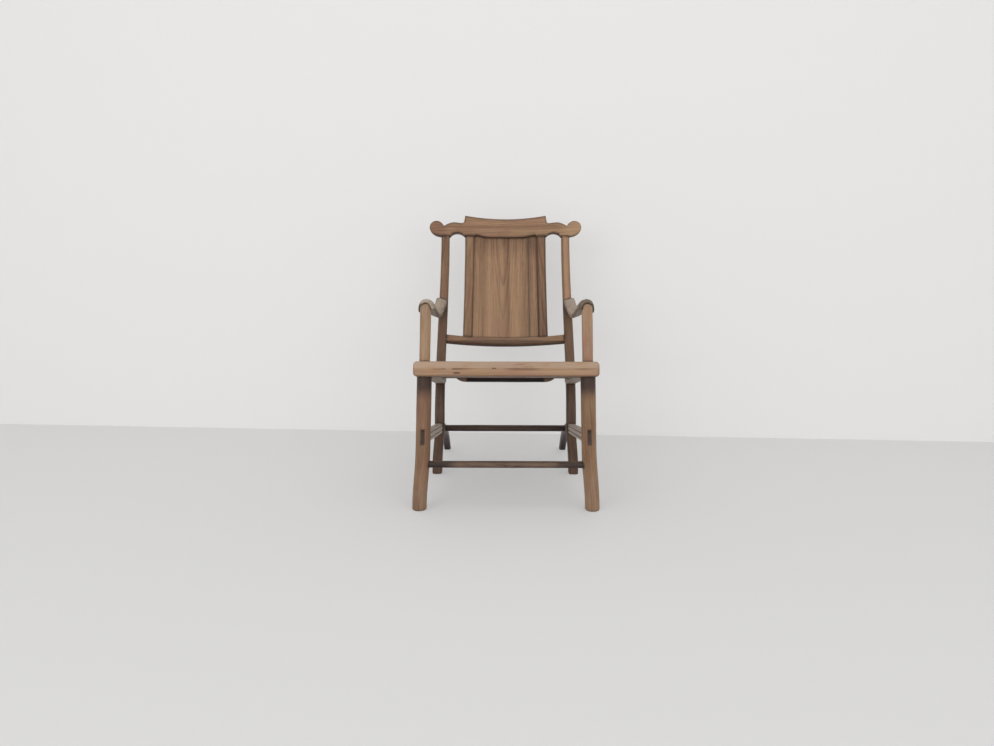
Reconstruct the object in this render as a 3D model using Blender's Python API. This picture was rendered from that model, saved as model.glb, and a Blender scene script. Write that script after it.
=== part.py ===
"""Reclining armchair of the moon-gazing kind, in joined hardwood, as separate pieces.

Metres, +Z up. The chair faces -Y, the floor is z = 0, and left and right are as seen from the front.
Six feet carry it: round front legs that run up through the seat frame to the arms, S-curved stiles that
run from the floor to the crest, and swept legs that prop the stiles from behind.
"""
import math

import bmesh
import bpy
from mathutils import Matrix, Vector

# Clearance between touching pieces, on each side
FIT = 0.0003

# Front legs: round, one piece from the floor to the arm
FRONT_FOOT_X = 0.2772
FRONT_FOOT_Y = -0.4155
LEG_DIAMETER = 0.0485
POST_DIAMETER = 0.035
POST_DOME = 0.011
DOME_TURN = math.radians(70.0)
LEG_SPLAY = math.radians(1.69)
LEG_LEAN = math.radians(2.0)
LEG_FLARE = 0.008
FLARE_TOP = 0.200
FLARE_FOOT = 0.020
FOOT_CHAMFER = 0.005

# Stiles: one S-curved piece from the floor to the crest
STILE_X = 0.2517
STILE_FOOT_Y = 0.0055
STILE_WIDTH = 0.0375
STILE_DEPTH = 0.042
STILE_TOP_DEPTH = 0.030
STILE_EDGE = 0.007
STILE_SWEEP = 0.385
STILE_BEND_START = 0.180
STILE_BEND_END = 0.970
STILE_FLARE = 0.011
CREST_BASE_HEIGHT = 0.914

# Back: every rail bows backwards between the stiles
BACK_BOW = 0.030
LOWER_RAIL_CENTRE = 0.509
LOWER_RAIL_HEIGHT = 0.034
LOWER_RAIL_DEPTH = 0.030
LOWER_RAIL_EDGE = 0.011
INNER_POST_X = 0.1495
INNER_POST_WIDTH = 0.041
INNER_POST_DEPTH = 0.026
INNER_POST_EDGE = 0.006
PANEL_THICKNESS = 0.010
PANEL_TONGUE = 0.008
PANEL_JOINT_X = 0.098

# Crest rail: rises are above its base line, offsets are outwards from the stile's or the arch's middle
CREST_DEPTH = 0.036
CREST_END_DEPTH = 0.029
CREST_EDGE = 0.009
HEADREST_RISE = 0.093
HEADREST_HOLLOW = 0.0125
HEADREST_STEP = 0.006
SHOULDER_RISE = 0.061
SHOULDER_CROWN = 0.005
SHOULDER_CROWN_OFFSET = 0.009
NOTCH_RISE = 0.044
EAR_OFFSET = 0.0351
EAR_RISE = 0.0370
EAR_RADIUS = 0.0298
ARCH_RELIEF = 0.001
ARCH_SPRING = -0.0110
APRON_DROP = 0.004
APRON_LIFT = 0.005
APRON_FLAT = 0.070

# Seat frame, in a plane that falls towards the back
SEAT_FRONT_HEIGHT = 0.4966
SEAT_SLOPE = math.radians(12.0)
RAIL_HEIGHT = 0.048
FRONT_RAIL_OVERHANG = 0.0103
FRONT_RAIL_AHEAD = 0.015
FRONT_RAIL_BEHIND = 0.0205
FRONT_RAIL_EDGE = 0.009
FRONT_RAIL_CORNER = 0.012
SIDE_RAIL_WIDTH = 0.048
SIDE_RAIL_EDGE = 0.009
REAR_RAIL_DEPTH = 0.032
REAR_RAIL_END_HEIGHT = 0.0205
REAR_RAIL_DROP = 0.0205
REAR_RAIL_FLAT_HALF = 0.150
REAR_RAIL_ROUND = 0.042
REAR_RAIL_EDGE = 0.004
BOARD_COUNT = 4
BOARD_THICKNESS = 0.016
BOARD_GAP = 0.0008
BOARD_TONGUE = 0.009
BOARD_TONGUE_THICKNESS = 0.007
BATTEN_WIDTH = 0.032
BATTEN_HEIGHT = 0.016
FRONT_BATTEN_SETBACK = 0.110
REAR_BATTEN_SETBACK = 0.258

# Arms: serpentine planks from the stile over the front post, arched across at the head
ARM_WIDTH = 0.049
ARM_THICKNESS = 0.018
ARM_CROWN = 0.004
ARM_HEAD_WIDTH = 0.042
ARM_HEAD_THICKNESS = 0.0125
ARM_HEAD_CROWN = 0.027
ARM_ARCH = math.radians(75.0)
ARM_ROUNDNESS = 0.6
ARM_REAR_OFFSET = 0.0078
ARM_REAR_HEIGHT = 0.658
ARM_DIP_HEIGHT = 0.616
ARM_DIP_Y = -0.0245
ARM_HEAD_HEIGHT = 0.685
ARM_NOSE = 0.012
ARM_NOSE_EDGE = 0.003

# Stretchers and the swept rear legs
SIDE_STRETCHER_FRONT = 0.2440
SIDE_STRETCHER_REAR = 0.182
SIDE_STRETCHER_HEIGHT = 0.046
SIDE_STRETCHER_WIDTH = 0.026
SIDE_STRETCHER_EDGE = 0.007
BEAD_OFFSET = 0.007
BEAD_WIDTH = 0.0046
BEAD_GROOVE = 0.002
FRONT_STRETCHER_HEIGHT = 0.152
FRONT_STRETCHER_TALL = 0.021
FRONT_STRETCHER_DEEP = 0.027
REAR_FOOT_Y = 0.3835
REAR_LEG_WIDTH = 0.027
REAR_LEG_DEPTH = 0.040
REAR_LEG_FOOT_DEPTH = 0.033
REAR_LEG_EDGE = 0.007
REAR_LEG_TOP_SLOPE = 0.20
REAR_LEG_FOOT_SLOPE = 1.15
REAR_STRETCHER_PLACE = 0.27
REAR_STRETCHER_TALL = 0.025
REAR_STRETCHER_DEEP = 0.024

# Tenons: their sections, how far each goes into its mortise, and how deep its root lies in its own piece
STRETCHER_TENON_THICK = 0.012
STRETCHER_TENON_TALL = 0.040
THROUGH_TENON_RECESS = 0.0015
WEDGE_HEAD = 0.0075
WEDGE_TIP = 0.002
STILE_TENON_REACH = 0.013
REAR_LEG_TENON_TALL = 0.020
RAIL_TENON_THICK = 0.012
RAIL_TENON_TALL = 0.020
REAR_RAIL_TENON_TALL = 0.011
CREST_TENON_WIDTH = 0.018
CREST_TENON_REACH = 0.026
INNER_POST_TENON_DEPTH = 0.010
INNER_POST_TENON_REACH = 0.014
ROUND_TENON = 0.014
SIDE_TENON_REACH = 0.014
ARM_TENON_WIDTH = 0.018
ARM_TENON_REACH = 0.007
TENON_SHOULDER = 0.005
MORTISE_WALL = 0.0045
TENON_ROOT = 0.012
SCRIBED_TENON_ROOT = 0.024
SCRIBE_LAP = 0.0055

# Sections along each curved piece, and the facets of its round parts
LEG_RINGS = 14
POST_RINGS = 6
DOME_RINGS = 5
STILE_RINGS = 26
LOWER_RAIL_RINGS = 19
INNER_POST_RINGS = 14
PANEL_RINGS = 14
PANEL_STRIP = 0.030
ARM_REAR_RINGS = 9
ARM_FRONT_RINGS = 12
REAR_LEG_RINGS = 14
EASED_EDGE_RINGS = 9
ROUND_FACETS = 16
CORNER_FACETS = 3
SHARP_ANGLE = math.radians(35.0)

UP = Vector((0.0, 0.0, 1.0))
RIGHT = Vector((1.0, 0.0, 0.0))
BACK = Vector((0.0, 1.0, 0.0))
SIDES = {"left": -1, "right": 1}

WARM_ELM = ("elm_warm", (0.42, 0.27, 0.17), 0.42)
PANEL_ELM = ("elm_panel", (0.40, 0.26, 0.16), 0.45)
WEATHERED_ELM = ("elm_weathered", (0.35, 0.29, 0.23), 0.55)
DARK_ELM = ("elm_dark", (0.12, 0.075, 0.05), 0.45)


def clear_scene():
    for old in list(bpy.data.objects):
        bpy.data.objects.remove(old, do_unlink=True)


def wood_finish(name, colour, roughness):
    """Principled material of one piece."""
    material = bpy.data.materials.new(name)
    material.use_nodes = True
    shader = material.node_tree.nodes["Principled BSDF"]
    shader.inputs["Base Color"].default_value = (*colour, 1.0)
    shader.inputs["Roughness"].default_value = roughness
    shader.inputs["Metallic"].default_value = 0.0
    return material


def smoothstep(t):
    t = min(max(t, 0.0), 1.0)
    return t * t * (3.0 - 2.0 * t)


def stations(start, end, count):
    return [start + (end - start) * i / (count - 1) for i in range(count)]


# Section outlines


def rounded_rectangle(width, height, radius, facets=CORNER_FACETS):
    """Anticlockwise outline with rounded corners, centred on zero; its walls limit the rounding."""
    radius = min(radius, 0.49 * width, 0.49 * height)
    outline = []
    for corner in range(4):
        a = 1.0 if corner in (0, 3) else -1.0
        b = 1.0 if corner in (0, 1) else -1.0
        for angle in stations(math.pi / 2 * corner, math.pi / 2 * (corner + 1), facets + 1):
            outline.append((a * (width / 2 - radius) + radius * math.cos(angle),
                            b * (height / 2 - radius) + radius * math.sin(angle)))
    return outline


def turns():
    """Angles once round a section."""
    return [2 * math.pi * i / ROUND_FACETS for i in range(ROUND_FACETS)]


def oval(width, height):
    return [(width / 2 * math.cos(angle), height / 2 * math.sin(angle)) for angle in turns()]


def crowned_plank(width, height, crown, grow):
    """Plank section that is arched across: its edges lie a crown lower than its middle."""
    span = width / 2 / math.sin(ARM_ARCH)
    drop = crown / (1.0 - math.cos(ARM_ARCH))
    arch = ARM_ARCH + grow / math.hypot(span * math.cos(ARM_ARCH), drop * math.sin(ARM_ARCH))
    outline = []
    for angle in turns():
        c = math.cos(angle)
        s = math.sin(angle)
        lean = arch * math.copysign(abs(c) ** ARM_ROUNDNESS, c)
        side = (height / 2 + grow) * math.copysign(abs(s) ** ARM_ROUNDNESS, s)
        square = Vector((drop * math.sin(lean), span * math.cos(lean))).normalized()
        outline.append((span * math.sin(lean) + side * square.x,
                        drop * (math.cos(lean) - 1.0) + side * square.y))
    return outline


def beaded_bar():
    """Section of a side stretcher: rounded edges, and two scratched grooves along each broad face."""
    face = SIDE_STRETCHER_WIDTH / 2
    edge = SIDE_STRETCHER_EDGE
    groove = [(face, BEAD_OFFSET - BEAD_WIDTH / 2), (face - BEAD_GROOVE, BEAD_OFFSET),
              (face, BEAD_OFFSET + BEAD_WIDTH / 2)]
    corner = [(face - edge + edge * math.cos(a), SIDE_STRETCHER_HEIGHT / 2 - edge + edge * math.sin(a))
              for a in stations(0.0, math.pi / 2, CORNER_FACETS)]
    quarter = groove + corner
    right = [(a, -b) for a, b in reversed(quarter)] + quarter
    return right + [(-a, -b) for a, b in right]


# Solids


def new_object(name, bm, look=None, parent=None):
    """Named piece from a mesh; one with no finish is a cutter."""
    bmesh.ops.recalc_face_normals(bm, faces=bm.faces)
    mesh = bpy.data.meshes.new(name)
    bm.to_mesh(mesh)
    bm.free()
    mesh.shade_smooth()
    mesh.set_sharp_from_angle(angle=SHARP_ANGLE)
    piece = bpy.data.objects.new(name, mesh)
    bpy.context.scene.collection.objects.link(piece)
    piece.parent = parent
    if look:
        finish, colour, roughness = look
        mesh.materials.append(wood_finish(f"{name}_{finish}", colour, roughness))
    else:
        piece.hide_render = True
        piece.display_type = "WIRE"
    return piece


def ring(origin, across, through, outline):
    return [origin + across * a + through * b for a, b in outline]


def loft(name, rings, look=None, parent=None):
    """Closed solid through rings of equal count, with flat ends."""
    bm = bmesh.new()
    loops = [[bm.verts.new(point) for point in points] for points in rings]
    count = len(rings[0])
    for low, high in zip(loops, loops[1:]):
        for i in range(count):
            j = (i + 1) % count
            bm.faces.new((low[i], low[j], high[j], high[i]))
    bm.faces.new(loops[0])
    bm.faces.new(loops[-1])
    return new_object(name, bm, look, parent)


def block(name, size, place, look=None, parent=None):
    """Box centred on the place matrix."""
    bm = bmesh.new()
    bmesh.ops.create_cube(bm, size=1.0, matrix=place @ Matrix.Diagonal((*size, 1.0)))
    return new_object(name, bm, look, parent)


def boolean(target, tool, operation):
    modifier = target.modifiers.new(tool.name, "BOOLEAN")
    modifier.operation = operation
    modifier.solver = "EXACT"
    modifier.object = tool


def cut(target, tool):
    boolean(target, tool, "DIFFERENCE")


def unite(target, tool):
    boolean(target, tool, "UNION")


def axes(origin, along, across):
    """Place matrix whose columns are across, through and along."""
    along = along.normalized()
    across = (across - along * across.dot(along)).normalized()
    through = along.cross(across)
    turned = Matrix((across, through, along)).transposed().to_4x4()
    return Matrix.Translation(origin) @ turned


def tenon(member, socket, place, section, root, reach, beyond=0.0):
    """Tongue from root inside the member to reach inside the socket, which gets its mortise.

    place has its origin on the shoulder and its along axis into the socket."""
    def bar(name, grow, end):
        size = (section[0] + 2 * grow, section[1] + 2 * grow, root + end)
        return block(name, size, place @ Matrix.Translation((0.0, 0.0, (end - root) / 2)))
    label = f"{member.name}_in_{socket.name}"
    unite(member, bar(f"{label}_tongue", 0.0, reach))
    cut(socket, bar(f"{label}_mortise", FIT, reach + FIT + beyond))


def upward(along):
    """Direction square to a run in the side plane, on its upper side."""
    through = along.cross(RIGHT).normalized()
    return through if through.z > 0.0 else -through


# Lines that the pieces follow


def foot_flare(z, amount):
    return amount * smoothstep((FLARE_TOP - z) / (FLARE_TOP - FLARE_FOOT))


def leg_point(side, z):
    x = FRONT_FOOT_X - z * math.tan(LEG_SPLAY) + foot_flare(z, LEG_FLARE)
    return Vector((side * x, FRONT_FOOT_Y + z * math.tan(LEG_LEAN), z))


def stile_bend(z):
    return (z - STILE_BEND_START) / (STILE_BEND_END - STILE_BEND_START)


def stile_y(z):
    return STILE_FOOT_Y + STILE_SWEEP * smoothstep(stile_bend(z))


def back_lean(z):
    """Lean of the back line from the vertical at a height."""
    t = min(max(stile_bend(z), 0.0), 1.0)
    return math.atan(STILE_SWEEP * 6.0 * t * (1.0 - t) / (STILE_BEND_END - STILE_BEND_START))


def up_back(z):
    lean = back_lean(z)
    return Vector((0.0, math.sin(lean), math.cos(lean)))


def behind(z):
    lean = back_lean(z)
    return Vector((0.0, math.cos(lean), -math.sin(lean)))


def bow(x):
    return BACK_BOW * (1.0 - (x / STILE_X) ** 2)


def bow_across(x, z):
    """Direction along the bowed back at x."""
    slope = -2.0 * BACK_BOW * x / STILE_X ** 2
    return (RIGHT + behind(z) * slope).normalized()


def stile_point(side, z):
    return Vector((side * (STILE_X + foot_flare(z, STILE_FLARE)), stile_y(z), z))


def back_point(x, z):
    return Vector((x, stile_y(z), z)) + behind(z) * bow(x)


def stile_depth(z):
    return STILE_DEPTH + (STILE_TOP_DEPTH - STILE_DEPTH) * smoothstep(z / CREST_BASE_HEIGHT)


LEG_AT_SEAT = leg_point(1.0, SEAT_FRONT_HEIGHT)
SEAT_FRONT_Y = LEG_AT_SEAT.y - LEG_DIAMETER / 2 - FRONT_RAIL_AHEAD
FRONT_RAIL_DEPTH = FRONT_RAIL_AHEAD + (LEG_DIAMETER + POST_DIAMETER) / 2 + FRONT_RAIL_BEHIND
FRONT_RAIL_LENGTH = 2 * (LEG_AT_SEAT.x + LEG_DIAMETER / 2 + FRONT_RAIL_OVERHANG)
SEAT = (Matrix.Translation((0.0, SEAT_FRONT_Y, SEAT_FRONT_HEIGHT))
        @ Matrix.Rotation(-SEAT_SLOPE, 4, "X"))
SEAT_UP = (SEAT.to_3x3() @ UP).normalized()
SEAT_BACK = (SEAT.to_3x3() @ BACK).normalized()


def stile_height_at(depth):
    """Height where the stile's centre line lies this far under the seat plane."""
    low, high = 0.0, CREST_BASE_HEIGHT
    for _ in range(50):
        z = (low + high) / 2
        over = SEAT_UP.dot(stile_point(1.0, z) - SEAT.translation)
        low, high = (z, high) if over < -depth else (low, z)
    return z


def seat_reach(depth):
    """Distance from the seat's front edge to the stile's centre line, along the seat."""
    return SEAT_BACK.dot(stile_point(1.0, stile_height_at(depth)) - SEAT.translation)


REAR_RAIL_FRONT = seat_reach(REAR_RAIL_END_HEIGHT / 2) - REAR_RAIL_DEPTH / 2
SEAT_INNER_HALF = STILE_X - SIDE_RAIL_WIDTH / 2
STILE_INNER_X = STILE_X - STILE_WIDTH / 2
STILE_OUTER_X = STILE_X + STILE_WIDTH / 2
PANEL_HALF = INNER_POST_X - INNER_POST_WIDTH / 2
HEADREST_HALF = INNER_POST_X + INNER_POST_WIDTH / 2
ARCH_X = (HEADREST_HALF + STILE_INNER_X) / 2
ARCH_RADIUS = (STILE_INNER_X - HEADREST_HALF) / 2 + ARCH_RELIEF
SHOULDER_CROWN_X = ARCH_X + SHOULDER_CROWN_OFFSET
EAR_X = STILE_X + EAR_OFFSET
NOTCH_X = EAR_X - math.sqrt(EAR_RADIUS ** 2 - (NOTCH_RISE - EAR_RISE) ** 2)
EAR_TIP_X = EAR_X + EAR_RADIUS
POST_TOP = ARM_HEAD_HEIGHT - ARM_HEAD_THICKNESS / 2
LOWER_RAIL_TOP = LOWER_RAIL_CENTRE + LOWER_RAIL_HEIGHT / 2 * math.cos(back_lean(LOWER_RAIL_CENTRE))


# Front legs


def leg_sweep(name, side, low, high, diameter, count=LEG_RINGS, dome=0.0, look=None, parent=None):
    """Round sweep along the leg's line, domed at the top; a leg with a finish has its foot chamfered."""
    def section(z, shrink=0.0):
        size = diameter - 2 * shrink
        return ring(leg_point(side, z), RIGHT, BACK, oval(size, size))
    rings = [section(z) for z in stations(low, high - dome, count)]
    if dome:
        rings += [section(high - dome * (1.0 - math.sin(a)), diameter / 2 * (1.0 - math.cos(a)))
                  for a in stations(0.0, DOME_TURN, DOME_RINGS)[1:]]
    if look:
        rings[:1] = [section(low, FOOT_CHAMFER), section(low + FOOT_CHAMFER)]
    return loft(name, rings, look, parent)


def front_leg(label, side, chair):
    """Leg with its shoulder under the seat frame and its post above it."""
    leg = leg_sweep(f"front_leg_{label}", side, 0.0, SEAT_FRONT_HEIGHT, LEG_DIAMETER, look=WARM_ELM,
                    parent=chair)
    above = RAIL_HEIGHT + FIT
    cut(leg, block(f"leg_shoulder_{label}", (LEG_DIAMETER * 2, LEG_DIAMETER * 4, 2 * above),
                   SEAT @ Matrix.Translation((side * LEG_AT_SEAT.x, 0.0, 0.0))))
    unite(leg, leg_sweep(f"leg_post_{label}", side, SEAT_FRONT_HEIGHT - 2 * RAIL_HEIGHT, POST_TOP,
                         POST_DIAMETER, POST_RINGS, POST_DOME))
    return leg


# Stiles


def stile_sweep(name, side, width, grow, top, look=None, parent=None):
    rings = []
    for z in [0.0, FOOT_CHAMFER] + stations(2 * FOOT_CHAMFER, top, STILE_RINGS):
        shrink = FOOT_CHAMFER if z == 0.0 and look else 0.0
        outline = rounded_rectangle(width - 2 * shrink, stile_depth(z) + 2 * grow - 2 * shrink, STILE_EDGE)
        rings.append(ring(stile_point(side, z), RIGHT, behind(z), outline))
    return loft(name, rings, look, parent)


def stile(label, side, chair):
    return stile_sweep(f"back_stile_{label}", side, STILE_WIDTH, 0.0, CREST_BASE_HEIGHT + SCRIBE_LAP,
                       WARM_ELM, chair)


def stile_face(label, side):
    """The stile's front and back faces carried out sideways, to scribe what butts against them."""
    return stile_sweep(f"stile_face_{label}", side, 3 * max(ARM_WIDTH, SIDE_RAIL_WIDTH), FIT,
                       CREST_BASE_HEIGHT)


# Crest rail


def ear_height(x):
    across = min(abs(x - EAR_X) / EAR_RADIUS, 1.0)
    return EAR_RISE + EAR_RADIUS * math.sqrt(1.0 - across * across)


def crest_top(x):
    """Upper outline: hollowed headrest, step, shoulder, notch and ear."""
    if x <= HEADREST_HALF:
        return HEADREST_RISE - HEADREST_HOLLOW * (1.0 - (x / HEADREST_HALF) ** 2)
    shoulder_start = HEADREST_HALF + HEADREST_STEP
    if x < shoulder_start:
        return HEADREST_RISE + (SHOULDER_RISE - HEADREST_RISE) * (x - HEADREST_HALF) / HEADREST_STEP
    if x < SHOULDER_CROWN_X:
        rise = smoothstep((x - shoulder_start) / (SHOULDER_CROWN_X - shoulder_start))
        return SHOULDER_RISE + SHOULDER_CROWN * rise
    if x < NOTCH_X:
        fall = smoothstep((x - SHOULDER_CROWN_X) / (NOTCH_X - SHOULDER_CROWN_X))
        return SHOULDER_RISE + SHOULDER_CROWN + (NOTCH_RISE - SHOULDER_RISE - SHOULDER_CROWN) * fall
    return ear_height(x)


def crest_bottom(x):
    """Lower outline: apron over the panel, arch, seat of the stile, and the ear's round."""
    if x < PANEL_HALF:
        lift = smoothstep((x - APRON_FLAT) / (PANEL_HALF - APRON_FLAT))
        return -APRON_DROP + (APRON_DROP + APRON_LIFT) * lift
    arch = abs(x - ARCH_X)
    if arch < ARCH_RADIUS:
        return max(0.0, ARCH_SPRING + math.sqrt(ARCH_RADIUS ** 2 - arch ** 2))
    if x <= STILE_OUTER_X:
        return 0.0
    across = (x - STILE_OUTER_X) / (EAR_TIP_X - STILE_OUTER_X)
    return EAR_RISE * (1.0 - math.sqrt(max(0.0, 1.0 - across * across)))


def crest_stations():
    """Places along half the crest, close together where its outline turns."""
    places = stations(0.0, APRON_FLAT, 4) + stations(APRON_FLAT, PANEL_HALF - FIT, 6)
    places += [HEADREST_HALF, HEADREST_HALF + HEADREST_STEP]
    places += [ARCH_X + ARCH_RADIUS * math.cos(a) for a in stations(math.pi, 0.0, 13)[1:-1]]
    places += stations(ARCH_X + ARCH_RADIUS, NOTCH_X, 5)[1:] + [STILE_OUTER_X]
    places += [EAR_X + EAR_RADIUS * math.sin(a) for a in stations(-0.28 * math.pi, 0.46 * math.pi, 9)]
    return sorted({x for x in places})


def crest_loft(name, grow, look=None, parent=None):
    lean_up = up_back(CREST_BASE_HEIGHT)
    lean_back = behind(CREST_BASE_HEIGHT)
    half = crest_stations()
    rings = []
    for x in [-x for x in reversed(half[1:])] + half:
        low = crest_bottom(abs(x)) - grow
        high = crest_top(abs(x)) + grow
        depth = CREST_DEPTH + (CREST_END_DEPTH - CREST_DEPTH) * (x / EAR_TIP_X) ** 2 + 2 * grow
        outline = rounded_rectangle(depth, high - low, CREST_EDGE, 2)
        centre = back_point(x, CREST_BASE_HEIGHT) + lean_up * (low + high) / 2
        rings.append(ring(centre, lean_back, lean_up, outline))
    return loft(name, rings, look, parent)


# Back rail, inner posts and panel


def lower_rail_loft(name, grow, look=None, parent=None):
    end = STILE_INNER_X - FIT + 2 * grow
    z = LOWER_RAIL_CENTRE
    outline = rounded_rectangle(LOWER_RAIL_DEPTH + 2 * grow, LOWER_RAIL_HEIGHT + 2 * grow, LOWER_RAIL_EDGE)
    rings = [ring(back_point(x, z), behind(z), up_back(z), outline)
             for x in stations(-end, end, LOWER_RAIL_RINGS)]
    return loft(name, rings, look, parent)


def inner_post(label, side, chair, crest, lower_rail, crest_grown, lower_grown):
    """Post beside the panel, scribed over both rails' rounded edges and tenoned into them."""
    x = side * INNER_POST_X
    outline = rounded_rectangle(INNER_POST_WIDTH, INNER_POST_DEPTH, INNER_POST_EDGE)
    rings = []
    for z in stations(LOWER_RAIL_TOP - SCRIBE_LAP, CREST_BASE_HEIGHT + SCRIBE_LAP, INNER_POST_RINGS):
        across = bow_across(x, z)
        rings.append(ring(back_point(x, z), across, across.cross(up_back(z)), outline))
    post = loft(f"back_inner_post_{label}", rings, WARM_ELM, chair)
    cut(post, crest_grown)
    cut(post, lower_grown)
    section = (INNER_POST_WIDTH - 2 * (PANEL_TONGUE + TENON_SHOULDER / 2), INNER_POST_TENON_DEPTH)
    for socket, z, way in ((crest, CREST_BASE_HEIGHT, 1.0), (lower_rail, LOWER_RAIL_TOP, -1.0)):
        shoulder = axes(back_point(x, z), way * up_back(z), bow_across(x, z))
        tenon(post, socket, shoulder, section, TENON_ROOT, INNER_POST_TENON_REACH)
    return post


def panel_loft(name, left, right, grow, look=None, parent=None):
    """Board of the back panel, S-curved in height and bowed across."""
    low = LOWER_RAIL_TOP - PANEL_TONGUE * math.cos(back_lean(LOWER_RAIL_TOP)) - grow
    high = CREST_BASE_HEIGHT + APRON_LIFT + PANEL_TONGUE + grow
    strips = max(2, round((right - left) / PANEL_STRIP))
    places = stations(left - grow, right + grow, strips + 1)
    half = PANEL_THICKNESS / 2 + grow
    rings = []
    for z in stations(low, high, PANEL_RINGS):
        front = [back_point(x, z) - behind(z) * half for x in places]
        back = [back_point(x, z) + behind(z) * half for x in reversed(places)]
        rings.append(front + back)
    return loft(name, rings, look, parent)


# Seat frame


def front_rail(seat):
    """Thick front rail: rounded plan corners, its long front edges eased."""
    rings = []
    for turn in stations(-math.pi / 2, math.pi / 2, EASED_EDGE_RINGS):
        inset = FRONT_RAIL_EDGE * (1.0 - math.cos(turn))
        lift = math.copysign(RAIL_HEIGHT / 2 - FRONT_RAIL_EDGE, turn) if turn else 0.0
        middle = Vector((0.0, (FRONT_RAIL_DEPTH + inset) / 2,
                         lift + FRONT_RAIL_EDGE * math.sin(turn) - RAIL_HEIGHT / 2))
        length = FRONT_RAIL_LENGTH - 2 * inset
        outline = rounded_rectangle(length, FRONT_RAIL_DEPTH - inset, FRONT_RAIL_CORNER)
        rings.append(ring(middle, RIGHT, BACK, outline))
    return loft("seat_front_rail", rings, WARM_ELM, seat)


def side_rail(label, side, seat, face, rail, upright):
    start = FRONT_RAIL_DEPTH + FIT
    end = seat_reach(RAIL_HEIGHT / 2)
    outline = rounded_rectangle(SIDE_RAIL_WIDTH, RAIL_HEIGHT, SIDE_RAIL_EDGE)
    rings = [ring(Vector((side * STILE_X, u, -RAIL_HEIGHT / 2)), RIGHT, UP, outline) for u in (start, end)]
    piece = loft(f"seat_side_rail_{label}", rings, WEATHERED_ELM, seat)
    cut(piece, face)
    section = (RAIL_TENON_THICK, RAIL_TENON_TALL)
    inner = side * (SEAT_INNER_HALF + TENON_SHOULDER + RAIL_TENON_THICK / 2)
    front = SEAT @ axes(Vector((inner, start, -RAIL_HEIGHT / 2)), -BACK, RIGHT)
    tenon(piece, rail, front, section, TENON_ROOT, FRONT_RAIL_BEHIND - MORTISE_WALL)
    shoulder = end - stile_depth(stile_height_at(RAIL_HEIGHT / 2)) / 2
    rear = SEAT @ axes(Vector((side * STILE_X, shoulder, -RAIL_HEIGHT / 2)), BACK, RIGHT)
    tenon(piece, upright, rear, section, SCRIBED_TENON_ROOT, STILE_TENON_REACH)
    return piece


def rear_rail_height(x):
    """Depth of the rear rail under the seat: shallow at its ends, dropped between quarter-round corners."""
    across = min(max((abs(x) - REAR_RAIL_FLAT_HALF) / REAR_RAIL_ROUND, 0.0), 1.0)
    return REAR_RAIL_END_HEIGHT + REAR_RAIL_DROP * math.sqrt(1.0 - across * across)


def rear_rail(seat, uprights):
    end = STILE_INNER_X - FIT
    turn = [REAR_RAIL_FLAT_HALF + REAR_RAIL_ROUND * math.sin(a) for a in stations(0.0, math.pi / 2, 7)]
    half = [0.0] + turn + [end]
    rings = []
    for x in [-x for x in reversed(half[1:])] + half:
        height = rear_rail_height(x)
        outline = rounded_rectangle(REAR_RAIL_DEPTH, height, REAR_RAIL_EDGE, 2)
        rings.append(ring(Vector((x, REAR_RAIL_FRONT + REAR_RAIL_DEPTH / 2, -height / 2)), BACK, UP, outline))
    piece = loft("seat_rear_rail", rings, DARK_ELM, seat)
    middle = REAR_RAIL_FRONT + REAR_RAIL_DEPTH - TENON_SHOULDER - RAIL_TENON_THICK / 2
    for label, side in SIDES.items():
        shoulder = Vector((side * end, middle, -REAR_RAIL_END_HEIGHT / 2))
        tenon(piece, uprights[label], SEAT @ axes(shoulder, side * RIGHT, BACK),
              (RAIL_TENON_THICK, REAR_RAIL_TENON_TALL), TENON_ROOT, SIDE_TENON_REACH)
    return piece


def seat_board(number, seat):
    """Board from front to back, with a tongue in each rail's groove."""
    pitch = 2 * (SEAT_INNER_HALF - FIT) / BOARD_COUNT
    half = (pitch - BOARD_GAP) / 2
    x = -SEAT_INNER_HALF + FIT + pitch * (number - 0.5)
    start = FRONT_RAIL_DEPTH + FIT
    end = REAR_RAIL_FRONT - FIT

    def slab(low, high):
        return [(-half, low), (half, low), (half, high), (-half, high)]
    body = slab(-BOARD_THICKNESS, 0.0)
    tongue = slab(-(BOARD_THICKNESS + BOARD_TONGUE_THICKNESS) / 2,
                  -(BOARD_THICKNESS - BOARD_TONGUE_THICKNESS) / 2)
    sections = [(start - BOARD_TONGUE + FIT, tongue), (start, tongue), (start, body),
                (end, body), (end, tongue), (end + BOARD_TONGUE - FIT, tongue)]
    rings = [ring(Vector((x, u, 0.0)), RIGHT, UP, outline) for u, outline in sections]
    return loft(f"seat_board_{number}", rings, PANEL_ELM, seat)


def board_groove(name, u):
    size = (2 * SEAT_INNER_HALF, 2 * BOARD_TONGUE, BOARD_TONGUE_THICKNESS + 2 * FIT)
    return block(name, size, SEAT @ Matrix.Translation((0.0, u, -BOARD_THICKNESS / 2)))


def batten(name, setback, seat, rails):
    """Bar under the boards, tenoned into both side rails."""
    end = SEAT_INNER_HALF - FIT
    centre = Vector((0.0, FRONT_RAIL_DEPTH + setback, -BOARD_THICKNESS - FIT - BATTEN_HEIGHT / 2))
    piece = block(name, (2 * end, BATTEN_WIDTH, BATTEN_HEIGHT), Matrix.Translation(centre), DARK_ELM, seat)
    section = (BATTEN_HEIGHT - 2 * TENON_SHOULDER, BATTEN_WIDTH - 2 * TENON_SHOULDER)
    for label, side in SIDES.items():
        shoulder = SEAT @ axes(centre + side * end * RIGHT, side * RIGHT, UP)
        tenon(piece, rails[label], shoulder, section, TENON_ROOT, SIDE_TENON_REACH)
    return piece


# Arms


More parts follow.
